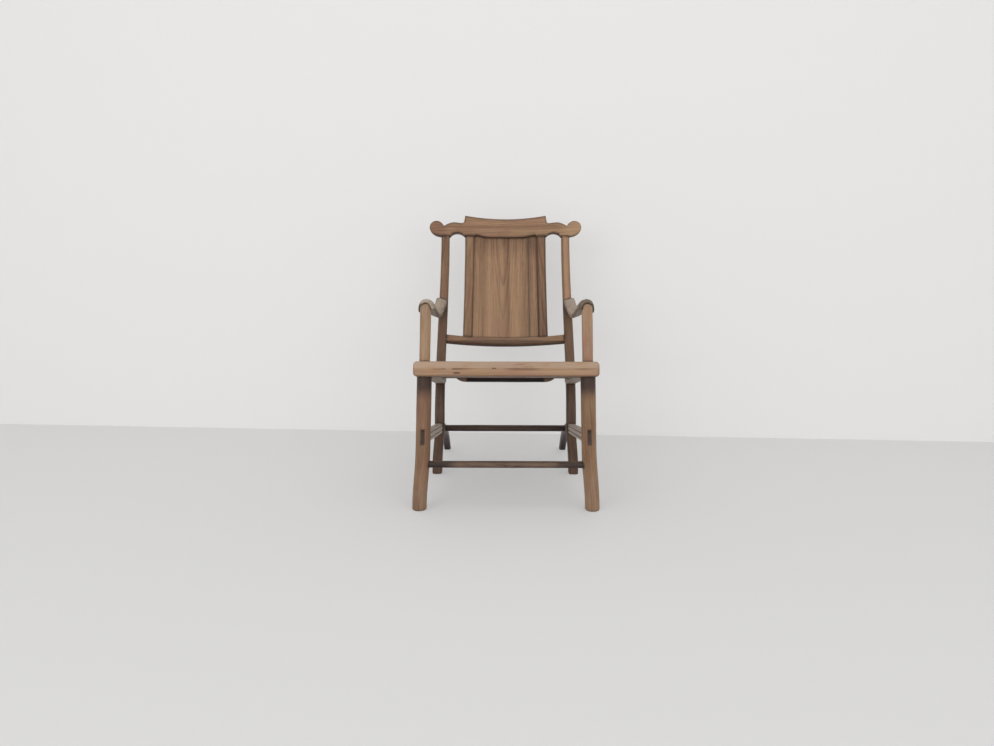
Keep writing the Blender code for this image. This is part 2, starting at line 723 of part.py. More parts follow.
def arm_line(side, grow=0.0):
    """Centre line of the arm from the stile to its nose, with how far each point is towards the head."""
    head = leg_point(side, ARM_HEAD_HEIGHT)
    rear_y = stile_y(ARM_REAR_HEIGHT)
    rear_x = side * (STILE_X + ARM_REAR_OFFSET)
    points = []
    for t in stations(1.0, 0.0, ARM_REAR_RINGS):
        z = ARM_DIP_HEIGHT + (ARM_REAR_HEIGHT - ARM_DIP_HEIGHT) * (1.0 - math.cos(math.pi / 2 * t))
        points.append((ARM_DIP_Y + t * (rear_y - ARM_DIP_Y), z, 0.0))
    for t in stations(0.0, 1.0, ARM_FRONT_RINGS)[1:]:
        z = ARM_DIP_HEIGHT + (ARM_HEAD_HEIGHT - ARM_DIP_HEIGHT) * smoothstep(t)
        points.append((ARM_DIP_Y + t * (head.y - ARM_DIP_Y), z, smoothstep(t)))
    points.append((head.y - ARM_NOSE + ARM_NOSE_EDGE, ARM_HEAD_HEIGHT, 1.0))
    points.append((head.y - ARM_NOSE - grow, ARM_HEAD_HEIGHT, 1.0))
    line = []
    for y, z, headward in points:
        share = (y - head.y) / (rear_y - head.y)
        line.append((Vector((head.x + share * (rear_x - head.x), y, z)), headward))
    return line


def arm_loft(name, side, grow, look=None, parent=None):
    line = arm_line(side, grow)
    last = len(line) - 1
    rings = []
    for i, (centre, headward) in enumerate(line):
        along = line[min(i + 1, last)][0] - line[max(i - 1, 0)][0]
        through = upward(along)
        swell = grow - (ARM_NOSE_EDGE if i == last else 0.0)
        thick = ARM_THICKNESS + (ARM_HEAD_THICKNESS - ARM_THICKNESS) * headward
        crown = ARM_CROWN + (ARM_HEAD_CROWN - ARM_CROWN) * headward
        wide = ARM_WIDTH + (ARM_HEAD_WIDTH - ARM_WIDTH) * headward
        rings.append(ring(centre, RIGHT, through, crowned_plank(wide, thick, crown, swell)))
    return loft(name, rings, look, parent)


def arm(label, side, chair, leg, face, upright):
    """Plank arm scribed to the stile, tenoned into it and set down over the front post."""
    piece = arm_loft(f"arm_{label}", side, 0.0, WEATHERED_ELM, chair)
    cut(piece, face)
    line = arm_line(side)
    back = (line[0][0] - line[1][0]).normalized()
    shoulder = line[0][0] - back * stile_depth(ARM_REAR_HEIGHT) / 2
    at = axes(Vector((side * STILE_X, shoulder.y, shoulder.z)), back, RIGHT)
    tenon(piece, upright, at, (ARM_TENON_WIDTH, ROUND_TENON), SCRIBED_TENON_ROOT, STILE_TENON_REACH)
    cut(leg, arm_loft(f"arm_seat_{label}", side, FIT))
    post_top = axes(leg_point(side, POST_TOP), UP, RIGHT)
    tenon(leg, piece, post_top, (ROUND_TENON, ROUND_TENON), TENON_ROOT, ARM_TENON_REACH)
    return piece


# Stretchers and rear legs


def side_stretcher(label, side, chair, leg, face, upright):
    """Beaded stretcher, wedged right through the front leg and tenoned into the stile."""
    front = leg_point(side, SIDE_STRETCHER_FRONT)
    rear = stile_point(side, SIDE_STRETCHER_REAR)
    along = (rear - front).normalized()
    through = upward(along)
    rings = [ring(point, RIGHT, through, beaded_bar()) for point in (front, rear)]
    piece = loft(f"side_stretcher_{label}", rings, WEATHERED_ELM, chair)
    cut(piece, leg_sweep(f"leg_scribe_{label}", side, 0.0, SEAT_FRONT_HEIGHT, LEG_DIAMETER + 2 * FIT))
    cut(piece, face)
    section = (STRETCHER_TENON_THICK, STRETCHER_TENON_TALL)
    radius = LEG_DIAMETER / 2
    tenon(piece, leg, axes(front + along * radius, -along, RIGHT), section, TENON_ROOT,
          LEG_DIAMETER - THROUGH_TENON_RECESS, radius)
    half = stile_depth(SIDE_STRETCHER_REAR) / 2
    tenon(piece, upright, axes(rear - along * half, along, RIGHT), section, SCRIBED_TENON_ROOT,
          STILE_TENON_REACH)
    tenon_wedge(label, chair, leg, front, along, through)
    return piece


def wedge_solid(name, front, along, through, grow, overrun, look=None, parent=None):
    """Tapered wedge that lies on the through tenon, its head at the leg's front face."""
    head = -LEG_DIAMETER / 2 + THROUGH_TENON_RECESS
    tip = LEG_DIAMETER / 4
    slope = (WEDGE_HEAD - WEDGE_TIP) / (tip - head)
    base = STRETCHER_TENON_TALL / 2 + 2 * FIT
    half = STRETCHER_TENON_THICK / 2 + grow
    rings = []
    for u in (head - overrun, tip + grow):
        top = base + WEDGE_TIP + slope * (tip - u) + 2 * grow
        outline = [(-half, base - 2 * grow), (half, base - 2 * grow), (half, top), (-half, top)]
        rings.append(ring(front + along * u, RIGHT, through, outline))
    return loft(name, rings, look, parent)


def tenon_wedge(label, chair, leg, front, along, through):
    wedge_solid(f"tenon_wedge_{label}", front, along, through, 0.0, 0.0, DARK_ELM, chair)
    cut(leg, wedge_solid(f"wedge_slot_{label}", front, along, through, FIT, LEG_DIAMETER / 2))


def rear_leg_curve(side):
    """Stile joint, knee and foot of a quadratic curve; the knee is where the end tangents cross."""
    top = stile_point(side, SIDE_STRETCHER_REAR)
    foot = Vector((top.x, REAR_FOOT_Y, 0.0))
    run = REAR_LEG_FOOT_SLOPE * foot.y - top.z - REAR_LEG_TOP_SLOPE * top.y
    y = run / (REAR_LEG_FOOT_SLOPE - REAR_LEG_TOP_SLOPE)
    return top, Vector((top.x, y, REAR_LEG_FOOT_SLOPE * (foot.y - y))), foot


def rear_leg_point(side, t):
    top, knee, foot = rear_leg_curve(side)
    return top * (1 - t) ** 2 + knee * 2 * t * (1 - t) + foot * t * t


def rear_leg_along(side, t):
    top, knee, foot = rear_leg_curve(side)
    return ((knee - top) * (1 - t) + (foot - knee) * t).normalized()


def rear_leg(label, side, chair, face, upright):
    """Swept leg whose last section is slid along its own direction on to the floor."""
    rings = []
    for t in stations(0.0, 1.0, REAR_LEG_RINGS):
        along = rear_leg_along(side, t)
        deep = REAR_LEG_DEPTH + (REAR_LEG_FOOT_DEPTH - REAR_LEG_DEPTH) * t
        outline = rounded_rectangle(REAR_LEG_WIDTH, deep, REAR_LEG_EDGE)
        rings.append(ring(rear_leg_point(side, t), RIGHT, upward(along), outline))
    rings[-1] = [point - along * (point.z / along.z) for point in rings[-1]]
    leg = loft(f"rear_leg_{label}", rings, DARK_ELM, chair)
    cut(leg, face)
    start = rear_leg_along(side, 0.0)
    shoulder = rear_leg_point(side, 0.0) + start * stile_depth(SIDE_STRETCHER_REAR) / 2
    tenon(leg, upright, axes(shoulder, -start, RIGHT), (STRETCHER_TENON_THICK, REAR_LEG_TENON_TALL),
          SCRIBED_TENON_ROOT, STILE_TENON_REACH)
    return leg


def front_stretcher(chair, legs):
    """Its ends are scribed to the round legs."""
    ends = [leg_point(side, FRONT_STRETCHER_HEIGHT) for side in SIDES.values()]
    rings = [ring(end, BACK, UP, oval(FRONT_STRETCHER_DEEP, FRONT_STRETCHER_TALL)) for end in ends]
    piece = loft("front_stretcher", rings, DARK_ELM, chair)
    for (label, side), end in zip(SIDES.items(), ends):
        cut(piece, bpy.data.objects[f"leg_scribe_{label}"])
        shoulder = axes(end - side * RIGHT * LEG_DIAMETER / 2, side * RIGHT, UP)
        tenon(piece, legs[label], shoulder, (ROUND_TENON, ROUND_TENON), TENON_ROOT, SIDE_TENON_REACH)
    return piece


def rear_stretcher(chair, rear_legs):
    """Its ends stop flat against the inner faces of the swept legs."""
    ends = []
    for side in SIDES.values():
        at = rear_leg_point(side, REAR_STRETCHER_PLACE)
        ends.append(at - side * RIGHT * (REAR_LEG_WIDTH / 2 + FIT))
    rings = [ring(end, BACK, UP, oval(REAR_STRETCHER_DEEP, REAR_STRETCHER_TALL)) for end in ends]
    piece = loft("rear_stretcher", rings, DARK_ELM, chair)
    for (label, side), end in zip(SIDES.items(), ends):
        tenon(piece, rear_legs[label], axes(end, side * RIGHT, UP), (ROUND_TENON, ROUND_TENON), TENON_ROOT,
              SIDE_TENON_REACH)
    return piece


# Assembly


def build_sides(chair):
    legs, uprights, faces, rear_legs = {}, {}, {}, {}
    for label, side in SIDES.items():
        legs[label] = front_leg(label, side, chair)
        uprights[label] = stile(label, side, chair)
        faces[label] = stile_face(label, side)
        side_stretcher(label, side, chair, legs[label], faces[label], uprights[label])
        rear_legs[label] = rear_leg(label, side, chair, faces[label], uprights[label])
        arm(label, side, chair, legs[label], faces[label], uprights[label])
    front_stretcher(chair, legs)
    rear_stretcher(chair, rear_legs)
    return uprights, faces


def build_back(chair, uprights):
    crest = crest_loft("crest_rail", 0.0, WARM_ELM, chair)
    lower = lower_rail_loft("lower_back_rail", 0.0, WARM_ELM, chair)
    crest_grown = crest_loft("crest_scribe", FIT)
    lower_grown = lower_rail_loft("lower_rail_scribe", FIT)
    edge = PANEL_HALF + PANEL_TONGUE
    panel_room = panel_loft("panel_room", -edge, edge, FIT)
    for label, side in SIDES.items():
        upright = uprights[label]
        cut(upright, crest_grown)
        top = axes(back_point(side * STILE_X, CREST_BASE_HEIGHT), up_back(CREST_BASE_HEIGHT), RIGHT)
        tenon(upright, crest, top, (CREST_TENON_WIDTH, ROUND_TENON), TENON_ROOT, CREST_TENON_REACH)
        z = LOWER_RAIL_CENTRE
        end = axes(Vector((side * (STILE_INNER_X - FIT), stile_y(z), z)), side * RIGHT, behind(z))
        tenon(lower, upright, end, (RAIL_TENON_THICK, RAIL_TENON_TALL), SCRIBED_TENON_ROOT, SIDE_TENON_REACH)
        cut(inner_post(label, side, chair, crest, lower, crest_grown, lower_grown), panel_room)
    cut(crest, panel_room)
    cut(lower, panel_room)
    panel_loft("back_panel_board_wide", -edge, PANEL_JOINT_X - FIT / 2, 0.0, PANEL_ELM, chair)
    panel_loft("back_panel_board_narrow", PANEL_JOINT_X + FIT / 2, edge, 0.0, PANEL_ELM, chair)


def build_seat(chair, uprights, faces):
    seat = bpy.data.objects.new("seat_plane", None)
    bpy.context.scene.collection.objects.link(seat)
    seat.parent = chair
    seat.matrix_local = SEAT
    rail = front_rail(seat)
    for label, side in SIDES.items():
        cut(rail, leg_sweep(f"post_hole_{label}", side, SEAT_FRONT_HEIGHT - 2 * RAIL_HEIGHT,
                            SEAT_FRONT_HEIGHT + RAIL_HEIGHT, POST_DIAMETER + 2 * FIT, POST_RINGS))
    rails = {label: side_rail(label, side, seat, faces[label], rail, uprights[label])
             for label, side in SIDES.items()}
    back = rear_rail(seat, uprights)
    cut(rail, board_groove("front_groove", FRONT_RAIL_DEPTH))
    cut(back, board_groove("rear_groove", REAR_RAIL_FRONT))
    for number in range(1, BOARD_COUNT + 1):
        seat_board(number, seat)
    batten("seat_batten_front", FRONT_BATTEN_SETBACK, seat, rails)
    batten("seat_batten_rear", REAR_BATTEN_SETBACK, seat, rails)


def build():
    clear_scene()
    chair = bpy.data.objects.new("chair", None)
    bpy.context.scene.collection.objects.link(chair)
    uprights, faces = build_sides(chair)
    build_back(chair, uprights)
    build_seat(chair, uprights, faces)
    bpy.context.view_layer.update()


build()
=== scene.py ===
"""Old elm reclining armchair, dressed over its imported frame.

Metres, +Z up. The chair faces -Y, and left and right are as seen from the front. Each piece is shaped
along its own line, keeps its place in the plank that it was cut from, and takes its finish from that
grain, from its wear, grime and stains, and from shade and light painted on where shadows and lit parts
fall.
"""
import math
import random
from collections import namedtuple

import bmesh
import bpy
import numpy as np
from mathutils import Matrix, Vector, noise
from mathutils.bvhtree import BVHTree


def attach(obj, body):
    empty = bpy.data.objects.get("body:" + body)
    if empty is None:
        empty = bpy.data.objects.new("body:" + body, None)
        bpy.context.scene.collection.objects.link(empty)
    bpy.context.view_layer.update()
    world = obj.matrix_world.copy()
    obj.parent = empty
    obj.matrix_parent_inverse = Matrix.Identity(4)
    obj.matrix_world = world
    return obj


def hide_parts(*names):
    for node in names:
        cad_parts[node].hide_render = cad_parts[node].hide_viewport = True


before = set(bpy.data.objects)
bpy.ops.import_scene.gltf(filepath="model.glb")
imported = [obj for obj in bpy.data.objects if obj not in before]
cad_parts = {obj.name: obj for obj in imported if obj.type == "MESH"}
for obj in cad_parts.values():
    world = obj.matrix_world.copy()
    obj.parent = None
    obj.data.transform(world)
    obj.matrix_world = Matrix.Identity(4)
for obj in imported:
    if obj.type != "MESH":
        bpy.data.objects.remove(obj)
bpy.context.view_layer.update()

# Camera, as the photograph was taken
PHOTO_WIDTH = 994
FOCAL_PIXELS = 718.0
SENSOR_WIDTH = 36.0
CAMERA_PLACE = (-0.014, -2.6923, 0.798)
CAMERA_PITCH = math.radians(8.55)
PIXELS_ASIDE = 4.85
CAMERA_YAW = math.atan2(PIXELS_ASIDE, FOCAL_PIXELS)
CAMERA_ROLL = math.radians(0.05)

# Front legs
FRONT_FOOT_X = 0.2772
FRONT_FOOT_Y = -0.4155
LEG_DIAMETER = 0.0485
POST_DIAMETER = 0.035
POST_DOME = 0.011
POST_DOME_RINGS = 12
LEG_SPLAY = math.radians(1.69)
LEG_LEAN = math.radians(2.0)
LEG_FLARE = 0.008
FLARE_TOP = 0.200
FLARE_FOOT = 0.020
FOOT_EASE = 0.006

# Stiles and back
STILE_X = 0.2517
STILE_FOOT_Y = 0.0055
STILE_WIDTH = 0.0375
STILE_FOOT_WIDTH = 0.0368
STILE_TOP_WIDTH = 0.0338
STILE_DEPTH = 0.042
STILE_TOP_DEPTH = 0.030
STILE_EDGE = 0.008
STILE_SWEEP = 0.385
STILE_BEND_START = 0.180
STILE_BEND_END = 0.970
STILE_FLARE = 0.011
CREST_BASE_HEIGHT = 0.914
BACK_BOW = 0.030
LOWER_RAIL_CENTRE = 0.509
LOWER_RAIL_HEIGHT = 0.034
LOWER_RAIL_DEPTH = 0.030
LOWER_RAIL_EDGE = 0.011
INNER_POST_X = 0.1495
INNER_POST_WIDTH = 0.041
INNER_POST_DEPTH = 0.026
INNER_POST_EDGE = 0.006
INNER_POST_RELIEF = 0.004
PANEL_THICKNESS = 0.010
PANEL_TONGUE = 0.008
PANEL_JOINT_X = 0.098
PANEL_JOINT_EASE = 0.0006
PANEL_LAP = 0.0006
PANEL_JOINT_MARGIN = 0.002

# Crest rail
CREST_DEPTH = 0.036
CREST_END_DEPTH = 0.029
CREST_EDGE = 0.006
CREST_LIFT = 0.005
HEADREST_RISE = 0.093
HEADREST_HOLLOW = 0.0125
HEADREST_STEP = 0.012
HEADREST_COVE = 3.0
SHOULDER_RISE = 0.061
SHOULDER_CROWN = 0.0020
SHOULDER_CROWN_OFFSET = 0.014
SHOULDER_ROUND = 1.7
NOTCH_RISE = 0.045
NOTCH_EASE = 0.004
EAR_OFFSET = 0.0351
EAR_RISE = 0.0350
EAR_RADIUS = 0.0298
ARCH_RELIEF = 0.001
ARCH_SPRING = -0.0110
ARCH_FLATNESS = 0.8
APRON_DROP = 0.004
APRON_LIFT = 0.005
APRON_FLAT = 0.070

# Seat
SEAT_FRONT_HEIGHT = 0.4966
SEAT_SLOPE = math.radians(12.0)
RAIL_HEIGHT = 0.048
FRONT_RAIL_OVERHANG = 0.0103
FRONT_RAIL_AHEAD = 0.015
FRONT_RAIL_BEHIND = 0.0205
FRONT_RAIL_EDGE = 0.009
FRONT_RAIL_LOWER_EDGE = 0.005
FRONT_RAIL_CORNER = 0.012
FRONT_RAIL_BACK_EDGE = 0.002
RAIL_LINE_DROP = 0.0245
RAIL_LINE_WIDTH = 0.0022
RAIL_LINE_DEPTH = 0.0010
RAIL_LINE_SWAY = 9.0
RAIL_LINE_LEAST = 0.25
RAIL_LINE_USUAL = 0.45
RAIL_LINE_MOST = 0.9
SIDE_RAIL_WIDTH = 0.048
SIDE_RAIL_EDGE = 0.009
REAR_RAIL_DEPTH = 0.032
REAR_RAIL_END_HEIGHT = 0.0205
REAR_RAIL_DROP = 0.0205
REAR_RAIL_FLAT_HALF = 0.150
REAR_RAIL_ROUND = 0.042
REAR_RAIL_EDGE = 0.004
BOARD_COUNT = 4
BOARD_THICKNESS = 0.016
BOARD_LAP = 0.0014
BOARD_EDGE = 0.0016
BATTEN_WIDTH = 0.032
BATTEN_HEIGHT = 0.016
BATTEN_EDGE = 0.003
BATTEN_SETBACKS = {"front": 0.110, "rear": 0.258}

# Arms
ARM_REAR_WIDTH = 0.044
ARM_WAIST = 0.040
ARM_THICKNESS = 0.018
ARM_ROLL = math.radians(22.0)
ARM_REAR_ROLL = math.radians(9.0)
ARM_HEAD_WIDTH = 0.042
ARM_HEAD_THICKNESS = 0.0125
ARM_HEAD_CROWN = 0.027
ARM_ARCH = math.radians(75.0)
ARM_LIP = math.radians(18.0)
ARM_LIP_SETBACK = 0.030
ARM_NOSE_TRIM = math.radians(28.0)
ARM_ROUNDNESS = 0.6
ARM_UNDER_ROUNDNESS = 0.95
ARM_REAR_OFFSET = 0.0078
ARM_REAR_HEIGHT = 0.658
ARM_DIP_HEIGHT = 0.618
ARM_DIP_Y = -0.0245
ARM_HEAD_HEIGHT = 0.685
ARM_NOSE = 0.012
ARM_NOSE_EASE = 0.004

# Stretchers, wedges and rear legs
SIDE_STRETCHER_FRONT = 0.2408
SIDE_STRETCHER_REAR = 0.182
SIDE_STRETCHER_HEIGHT = 0.046
SIDE_STRETCHER_TOP_TAPER = 0.36
SIDE_STRETCHER_UNDER_TAPER = 0.14
SIDE_STRETCHER_WIDTH = 0.026
SIDE_STRETCHER_EDGE = 0.007
BEAD_OFFSET = 0.0095
BEAD_WIDTH = 0.0068
BEAD_GROOVE = 0.0028
BEAD_FACE = 0.4
TENON_THICK = 0.012
TENON_TALL = 0.040
TENON_RECESS = 0.0015
TENON_EASE = 0.0008
WEDGE_HEAD = 0.0075
WEDGE_TIP = 0.002
SLOT_COLUMNS = 2
SLOT_DEPTH = 0.006
SLOT_RIM = 0.0006
STRETCHER_ROUND = 0.48
FRONT_STRETCHER_HEIGHT = 0.152
FRONT_STRETCHER_TALL = 0.021
FRONT_STRETCHER_DEEP = 0.027
REAR_FOOT_Y = 0.3835
REAR_LEG_WIDTH = 0.027
REAR_LEG_DEPTH = 0.040
REAR_LEG_FOOT_DEPTH = 0.033
REAR_LEG_EDGE = 0.008
REAR_LEG_TOP_SLOPE = 0.20
REAR_LEG_FOOT_SLOPE = 1.15
REAR_STRETCHER_PLACE = 0.27
REAR_STRETCHER_TALL = 0.025
REAR_STRETCHER_DEEP = 0.024

# Seams: the gap that touching pieces keep, and how far a piece's end runs into its socket
SEAM = 0.0003
LAP = 0.004

# Fineness of the surfaces: steps along a run, and points or sections round a form
RUN_STEP = 0.006
CREST_STEP = 0.005
CREST_POST_STEP = 0.003
NOTCH_STEP = 0.0015
CORNER_FACETS = 6
SIDE_FACETS = 6
ROUND_FACETS = 48
COVE_SECTIONS = 16
ARCH_SECTIONS = 41
EAR_SECTIONS = 44
EAR_TURN = (-0.28 * math.pi, 0.485 * math.pi)
CREST_FACE_POINTS = 12
RAIL_FACE_POINTS = 9
RAIL_TOP_POINTS = 11
RAIL_BACK_POINTS = 7
REAR_RAIL_SECTIONS = 20
ARM_REAR_SECTIONS = 40
ARM_FRONT_SECTIONS = 64
REAR_LEG_SECTIONS = 84
LOWER_RAIL_POINTS = 72
BOARD_POINTS = 150
BATTEN_POINTS = 64
SIDE_STRETCHER_POINTS = 180
STRETCHER_POINTS = 56
SEAT_HALVINGS = 50
SCRIBE_HALVINGS = 30
SCRIBE_REACH = 0.06
SHARP_ANGLE = math.radians(38.0)
MOST_ROUND = 0.49
LEAST_TURN = 0.2
CREST_MOST_ROUND = 0.45

# Planks that the pieces were cut from: where the tree's pith lay, across and through a piece
PLANK_SEED = 20
PLANK_LENGTH = 3.0
PITH_ACROSS = 0.035
PITH_THROUGH = (0.035, 0.080)
CREST_PITH = (0.075, 0.020)
FRONT_RAIL_PITH = (0.02, 0.11)
WIDE_PANEL_PITH = (0.012, 0.046)
NARROW_PANEL_PITH = (-0.16, 0.030)
BOARD_PITH_ACROSS = 0.03
BOARD_PITH_THROUGH = (0.03, 0.05)
BOARD_TONES = (-0.12, 0.18)

# Shades of the pieces as stain, tone and rubbing; a tone is darker above 0. Some are painted shade or
# painted light, as noted where they stand
# A fade is its start and its span, which is negative where it comes in downwards, forwards or inwards
POST_SHADE = (0.0, -0.20, 0.6)
LEG_TONES = {"left": 0.22, "right": 0.06}
LEG_STAIN = 0.10
# Painted shadow: each front leg is stained dark just under the front rail, where the rail's shadow falls
LEG_RAIL_SHADOW = (0.365, 0.05)
LEG_WORN = (0.20, -0.10)
LEG_WORN_TONE = -0.10
LEG_WORN_RUB = 0.5
STILE_TONES = {"left": 0.20, "right": -0.12}
# Stain and painted shade on the stiles below the arms, most just under the arms and towards the floor
STILE_STAIN_AND_SHADE = 0.64
STILE_DARK = (ARM_REAR_HEIGHT - 0.012, -0.02)
STILE_CLOSE = (ARM_REAR_HEIGHT - 0.10, 0.06)
STILE_CLOSE_STAIN_AND_SHADE = 0.22
STILE_LOW = (0.45, -0.10)
STILE_LOW_STAIN_AND_SHADE = 0.18
CREST_TONE = 0.04
CREST_END = (0.22, 0.05)
CREST_LEFT_TONE = 0.12
CREST_RIGHT_TONE = -0.20
CREST_RIGHT_RUB = 0.3
# Painted shade: the lower half of the lower back rail, turned from the light, is stained dark
LOWER_RAIL_DARK = (LOWER_RAIL_CENTRE - 0.002, -0.008)
LOWER_RAIL_PAINTED_SHADE = 0.7
LOWER_RAIL_TONE = 0.12
INNER_POST_TONES = {"left": 0.13, "right": 0.38}
WIDE_PANEL_TONE = -0.09
NARROW_PANEL_TONE = -0.18
PANEL_OUTER = (0.05, 0.05)
PANEL_RIGHT = (0.0, 0.08)
PANEL_SIDE_TONE = 0.10
# Painted shadow of the crest, with some grime, darkens the panel towards its top
PANEL_TOP = (0.80, 0.10)
PANEL_TOP_SHADOW_AND_GRIME = 0.28
RAIL_UPPER = (-RAIL_LINE_DROP, 0.006)
RAIL_TONE = -0.07
RAIL_UPPER_TONE = -0.10
RAIL_RUB = 0.4
RAIL_UPPER_RUB = 0.8
SIDE_RAIL_TONE = -0.30
SIDE_RAIL_RUB = 0.8
# Painted shadow across the middle of the rear rail's front face, and painted light on its ends
REAR_RAIL_MIDDLE = (REAR_RAIL_FLAT_HALF + 0.002, -0.004)
REAR_RAIL_FACE_SPAN = -0.006
REAR_RAIL_PAINTED_SHADOW = 0.95
REAR_RAIL_LIT_END_TONE = -0.9
ARM_TONES = {"left": -0.05, "right": -0.10}
ARM_RUB = 0.5
ARM_HEAD_SHADES = {"left": (0.0, -0.10, 0.3), "right": (0.40, 0.30, -0.4)}
ARM_HEAD_START = 0.06
ARM_HEAD_SPAN = -0.04
# Painted shade on the outer lip of each arm's head
ARM_LIP_EDGE = (0.014, 0.008)
ARM_LIP_PAINTED_SHADE = 0.75
SIDE_STRETCHER_TONES = {"left": -0.28, "right": -0.22}
# Side stretchers rubbed paler all over: wear, and a painted highlight
SIDE_STRETCHER_RUB_AND_HIGHLIGHT = 1.5
TENON_SHADE = (1.0, 0.3, 0.0)
WEDGE_STAIN = 0.5
STRETCHER_HANDLED = (0.21, -0.06)
FRONT_STRETCHER_TONE = 0.46
HANDLED_TONE = -0.18
HANDLED_RUB = 0.75
# Rear stretcher darkened: its own colour, and painted shade under the seat
REAR_STRETCHER_TONE = 0.4

# Marks on the front rail: place along it, drop from its top, half length and half height
RAIL_MARKS = (
    (-0.0415, 0.0225, 0.0030, 0.0022),
    (-0.0345, 0.0228, 0.0028, 0.0020),
    (-0.157, 0.0375, 0.011, 0.0026),
)
RAIL_MARK_STRENGTH = 1.5

# Hand work, wear, grime, and shade painted on undersides and edges
WOBBLE = 0.00045
WOBBLE_SCALE = 11.0
TOOLING = 0.00013
TOOLING_SCALE = 55.0
NICK = 0.0016
NICK_SCALE = 42.0
NICK_START = 0.42
NICK_EDGE = 0.5
WORN_BEND = (60.0, 170.0)
HOLLOW_BEND = (60.0, 260.0)
GRIME_REACH = 0.011
GRIME_SPREAD = 0.003
GRIME_PASSES = 3
JOINT_REACH = 0.0014
WEDGED_JOINT = {"front_leg", "side_stretcher", "tenon_wedge"}
PANEL_JOINT = {"back_inner_post", "back_panel_board"}
PANEL_REACH = 0.004
PANEL_SEAM = {"back_panel_board"}
PANEL_SEAM_REACH = 0.0005
PANEL_SEAM_CLEAN = 0.3
TOP_WEAR = 0.6
TOP_LIFT = (0.45, 0.85)
# Faces turned downwards: old dark finish and painted shade
UNDER_STAIN_AND_SHADE = 0.9
UNDER_LIFT = (0.30, 0.75)
# Rounded outer edges: painted shade
EDGE_PAINTED_SHADE = 0.6
SHORTEST_SQUARED = 1e-10

UP = Vector((0.0, 0.0, 1.0))
RIGHT = Vector((1.0, 0.0, 0.0))
BACK = Vector((0.0, 1.0, 0.0))
SIDES = {"left": -1, "right": 1}

Ring = namedtuple("Ring", "origin outline points")
planks = random.Random(PLANK_SEED)


def smoothstep(t):
    t = min(max(t, 0.0), 1.0)
    return t * t * (3.0 - 2.0 * t)


def fade(value, start, span):
    """Smooth rise from 0 to 1 over a span that begins at start."""
    return smoothstep((value - start) / span)


def mix(start, end, share):
    return start + (end - start) * share


def stations(start, end, count):
    return [start + (end - start) * i / (count - 1) for i in range(count)]


def run_stations(start, end, step=RUN_STEP):
    return stations(start, end, max(2, math.ceil(abs(end - start) / step) + 1))


def rounded_tip(radius, count=CORNER_FACETS):
    """Distances from the tip at which an eased end needs a section."""
    return [radius * (1.0 - math.cos(a)) for a in stations(0.0, math.pi / 2, count)]


def ease(distance, radius):
    """Inset of a section this far from an eased end."""
    short = max(radius - distance, 0.0)
    return radius - math.sqrt(radius ** 2 - short ** 2)


# Section outlines, anticlockwise


def bar_section(width, height, radius, inset=0.0):
    """Rounded rectangle whose sides carry enough points for wear and grime."""
    radius = min(radius, MOST_ROUND * min(width, height))
    turn = max(radius - inset, LEAST_TURN * radius)
    half = (width / 2 - inset - turn, height / 2 - inset - turn)
    outline = []
    for corner in range(4):
        a = 1.0 if corner in (0, 3) else -1.0
        b = 1.0 if corner in (0, 1) else -1.0
        for angle in stations(math.pi / 2 * corner, math.pi / 2 * (corner + 1), CORNER_FACETS + 1):
            outline.append((a * half[0] + turn * math.cos(angle), b * half[1] + turn * math.sin(angle)))
        last = outline[-1]
        for i in range(1, SIDE_FACETS):
            reach = i / SIDE_FACETS
            if corner in (0, 2):
                outline.append((last[0] - 2 * a * half[0] * reach, last[1]))
            else:
                outline.append((last[0], last[1] - 2 * b * half[1] * reach))
    return outline


def round_section(diameter):
    """Circle whose first point is at the front, on the -Y side."""
    turns = [2 * math.pi * i / ROUND_FACETS for i in range(ROUND_FACETS)]
    return [(diameter / 2 * math.sin(a), -diameter / 2 * math.cos(a)) for a in turns]


def crowned_plank(width, height, crown, inset, headward, lip, outer):
    """Plank section, arched across so that its edges lie a crown lower than its middle.

    Its outer edge reaches further down by an angle, the lip; towards the stile that edge is rounder below.
    """
    span = width / 2 / math.sin(ARM_ARCH)
    drop = crown / (1.0 - math.cos(ARM_ARCH))
    arch = ARM_ARCH - inset / math.hypot(span * math.cos(ARM_ARCH), drop * math.sin(ARM_ARCH))
    under = mix(ARM_UNDER_ROUNDNESS, ARM_ROUNDNESS, headward)
    outline = []
    for i in range(ROUND_FACETS):
        angle = 2 * math.pi * i / ROUND_FACETS
        inner = outer * math.cos(angle) < 0.0
        power = ARM_ROUNDNESS if inner or 2 * i < ROUND_FACETS else under
        reach = arch + (lip if outer * math.cos(angle) > 0.0 else 0.0)
        lean = reach * math.copysign(abs(math.cos(angle)) ** power, math.cos(angle))
        side = (height / 2 - inset) * math.copysign(abs(math.sin(angle)) ** power, math.sin(angle))
        square = Vector((drop * math.sin(lean), span * math.cos(lean))).normalized()
        outline.append((span * math.sin(lean) + side * square.x,
                        drop * (math.cos(lean) - 1.0) + side * square.y))
    return outline


# Lines that the pieces follow


def foot_flare(z, amount):
    return amount * smoothstep((FLARE_TOP - z) / (FLARE_TOP - FLARE_FOOT))


def leg_point(side, z):
    x = FRONT_FOOT_X - z * math.tan(LEG_SPLAY) + foot_flare(z, LEG_FLARE)
    return Vector((side * x, FRONT_FOOT_Y + z * math.tan(LEG_LEAN), z))


def stile_bend(z):
    return (z - STILE_BEND_START) / (STILE_BEND_END - STILE_BEND_START)


def stile_y(z):
    return STILE_FOOT_Y + STILE_SWEEP * smoothstep(stile_bend(z))


def back_lean(z):
    t = min(max(stile_bend(z), 0.0), 1.0)
    return math.atan(STILE_SWEEP * 6.0 * t * (1.0 - t) / (STILE_BEND_END - STILE_BEND_START))


def up_back(z):
    return Vector((0.0, math.sin(back_lean(z)), math.cos(back_lean(z))))


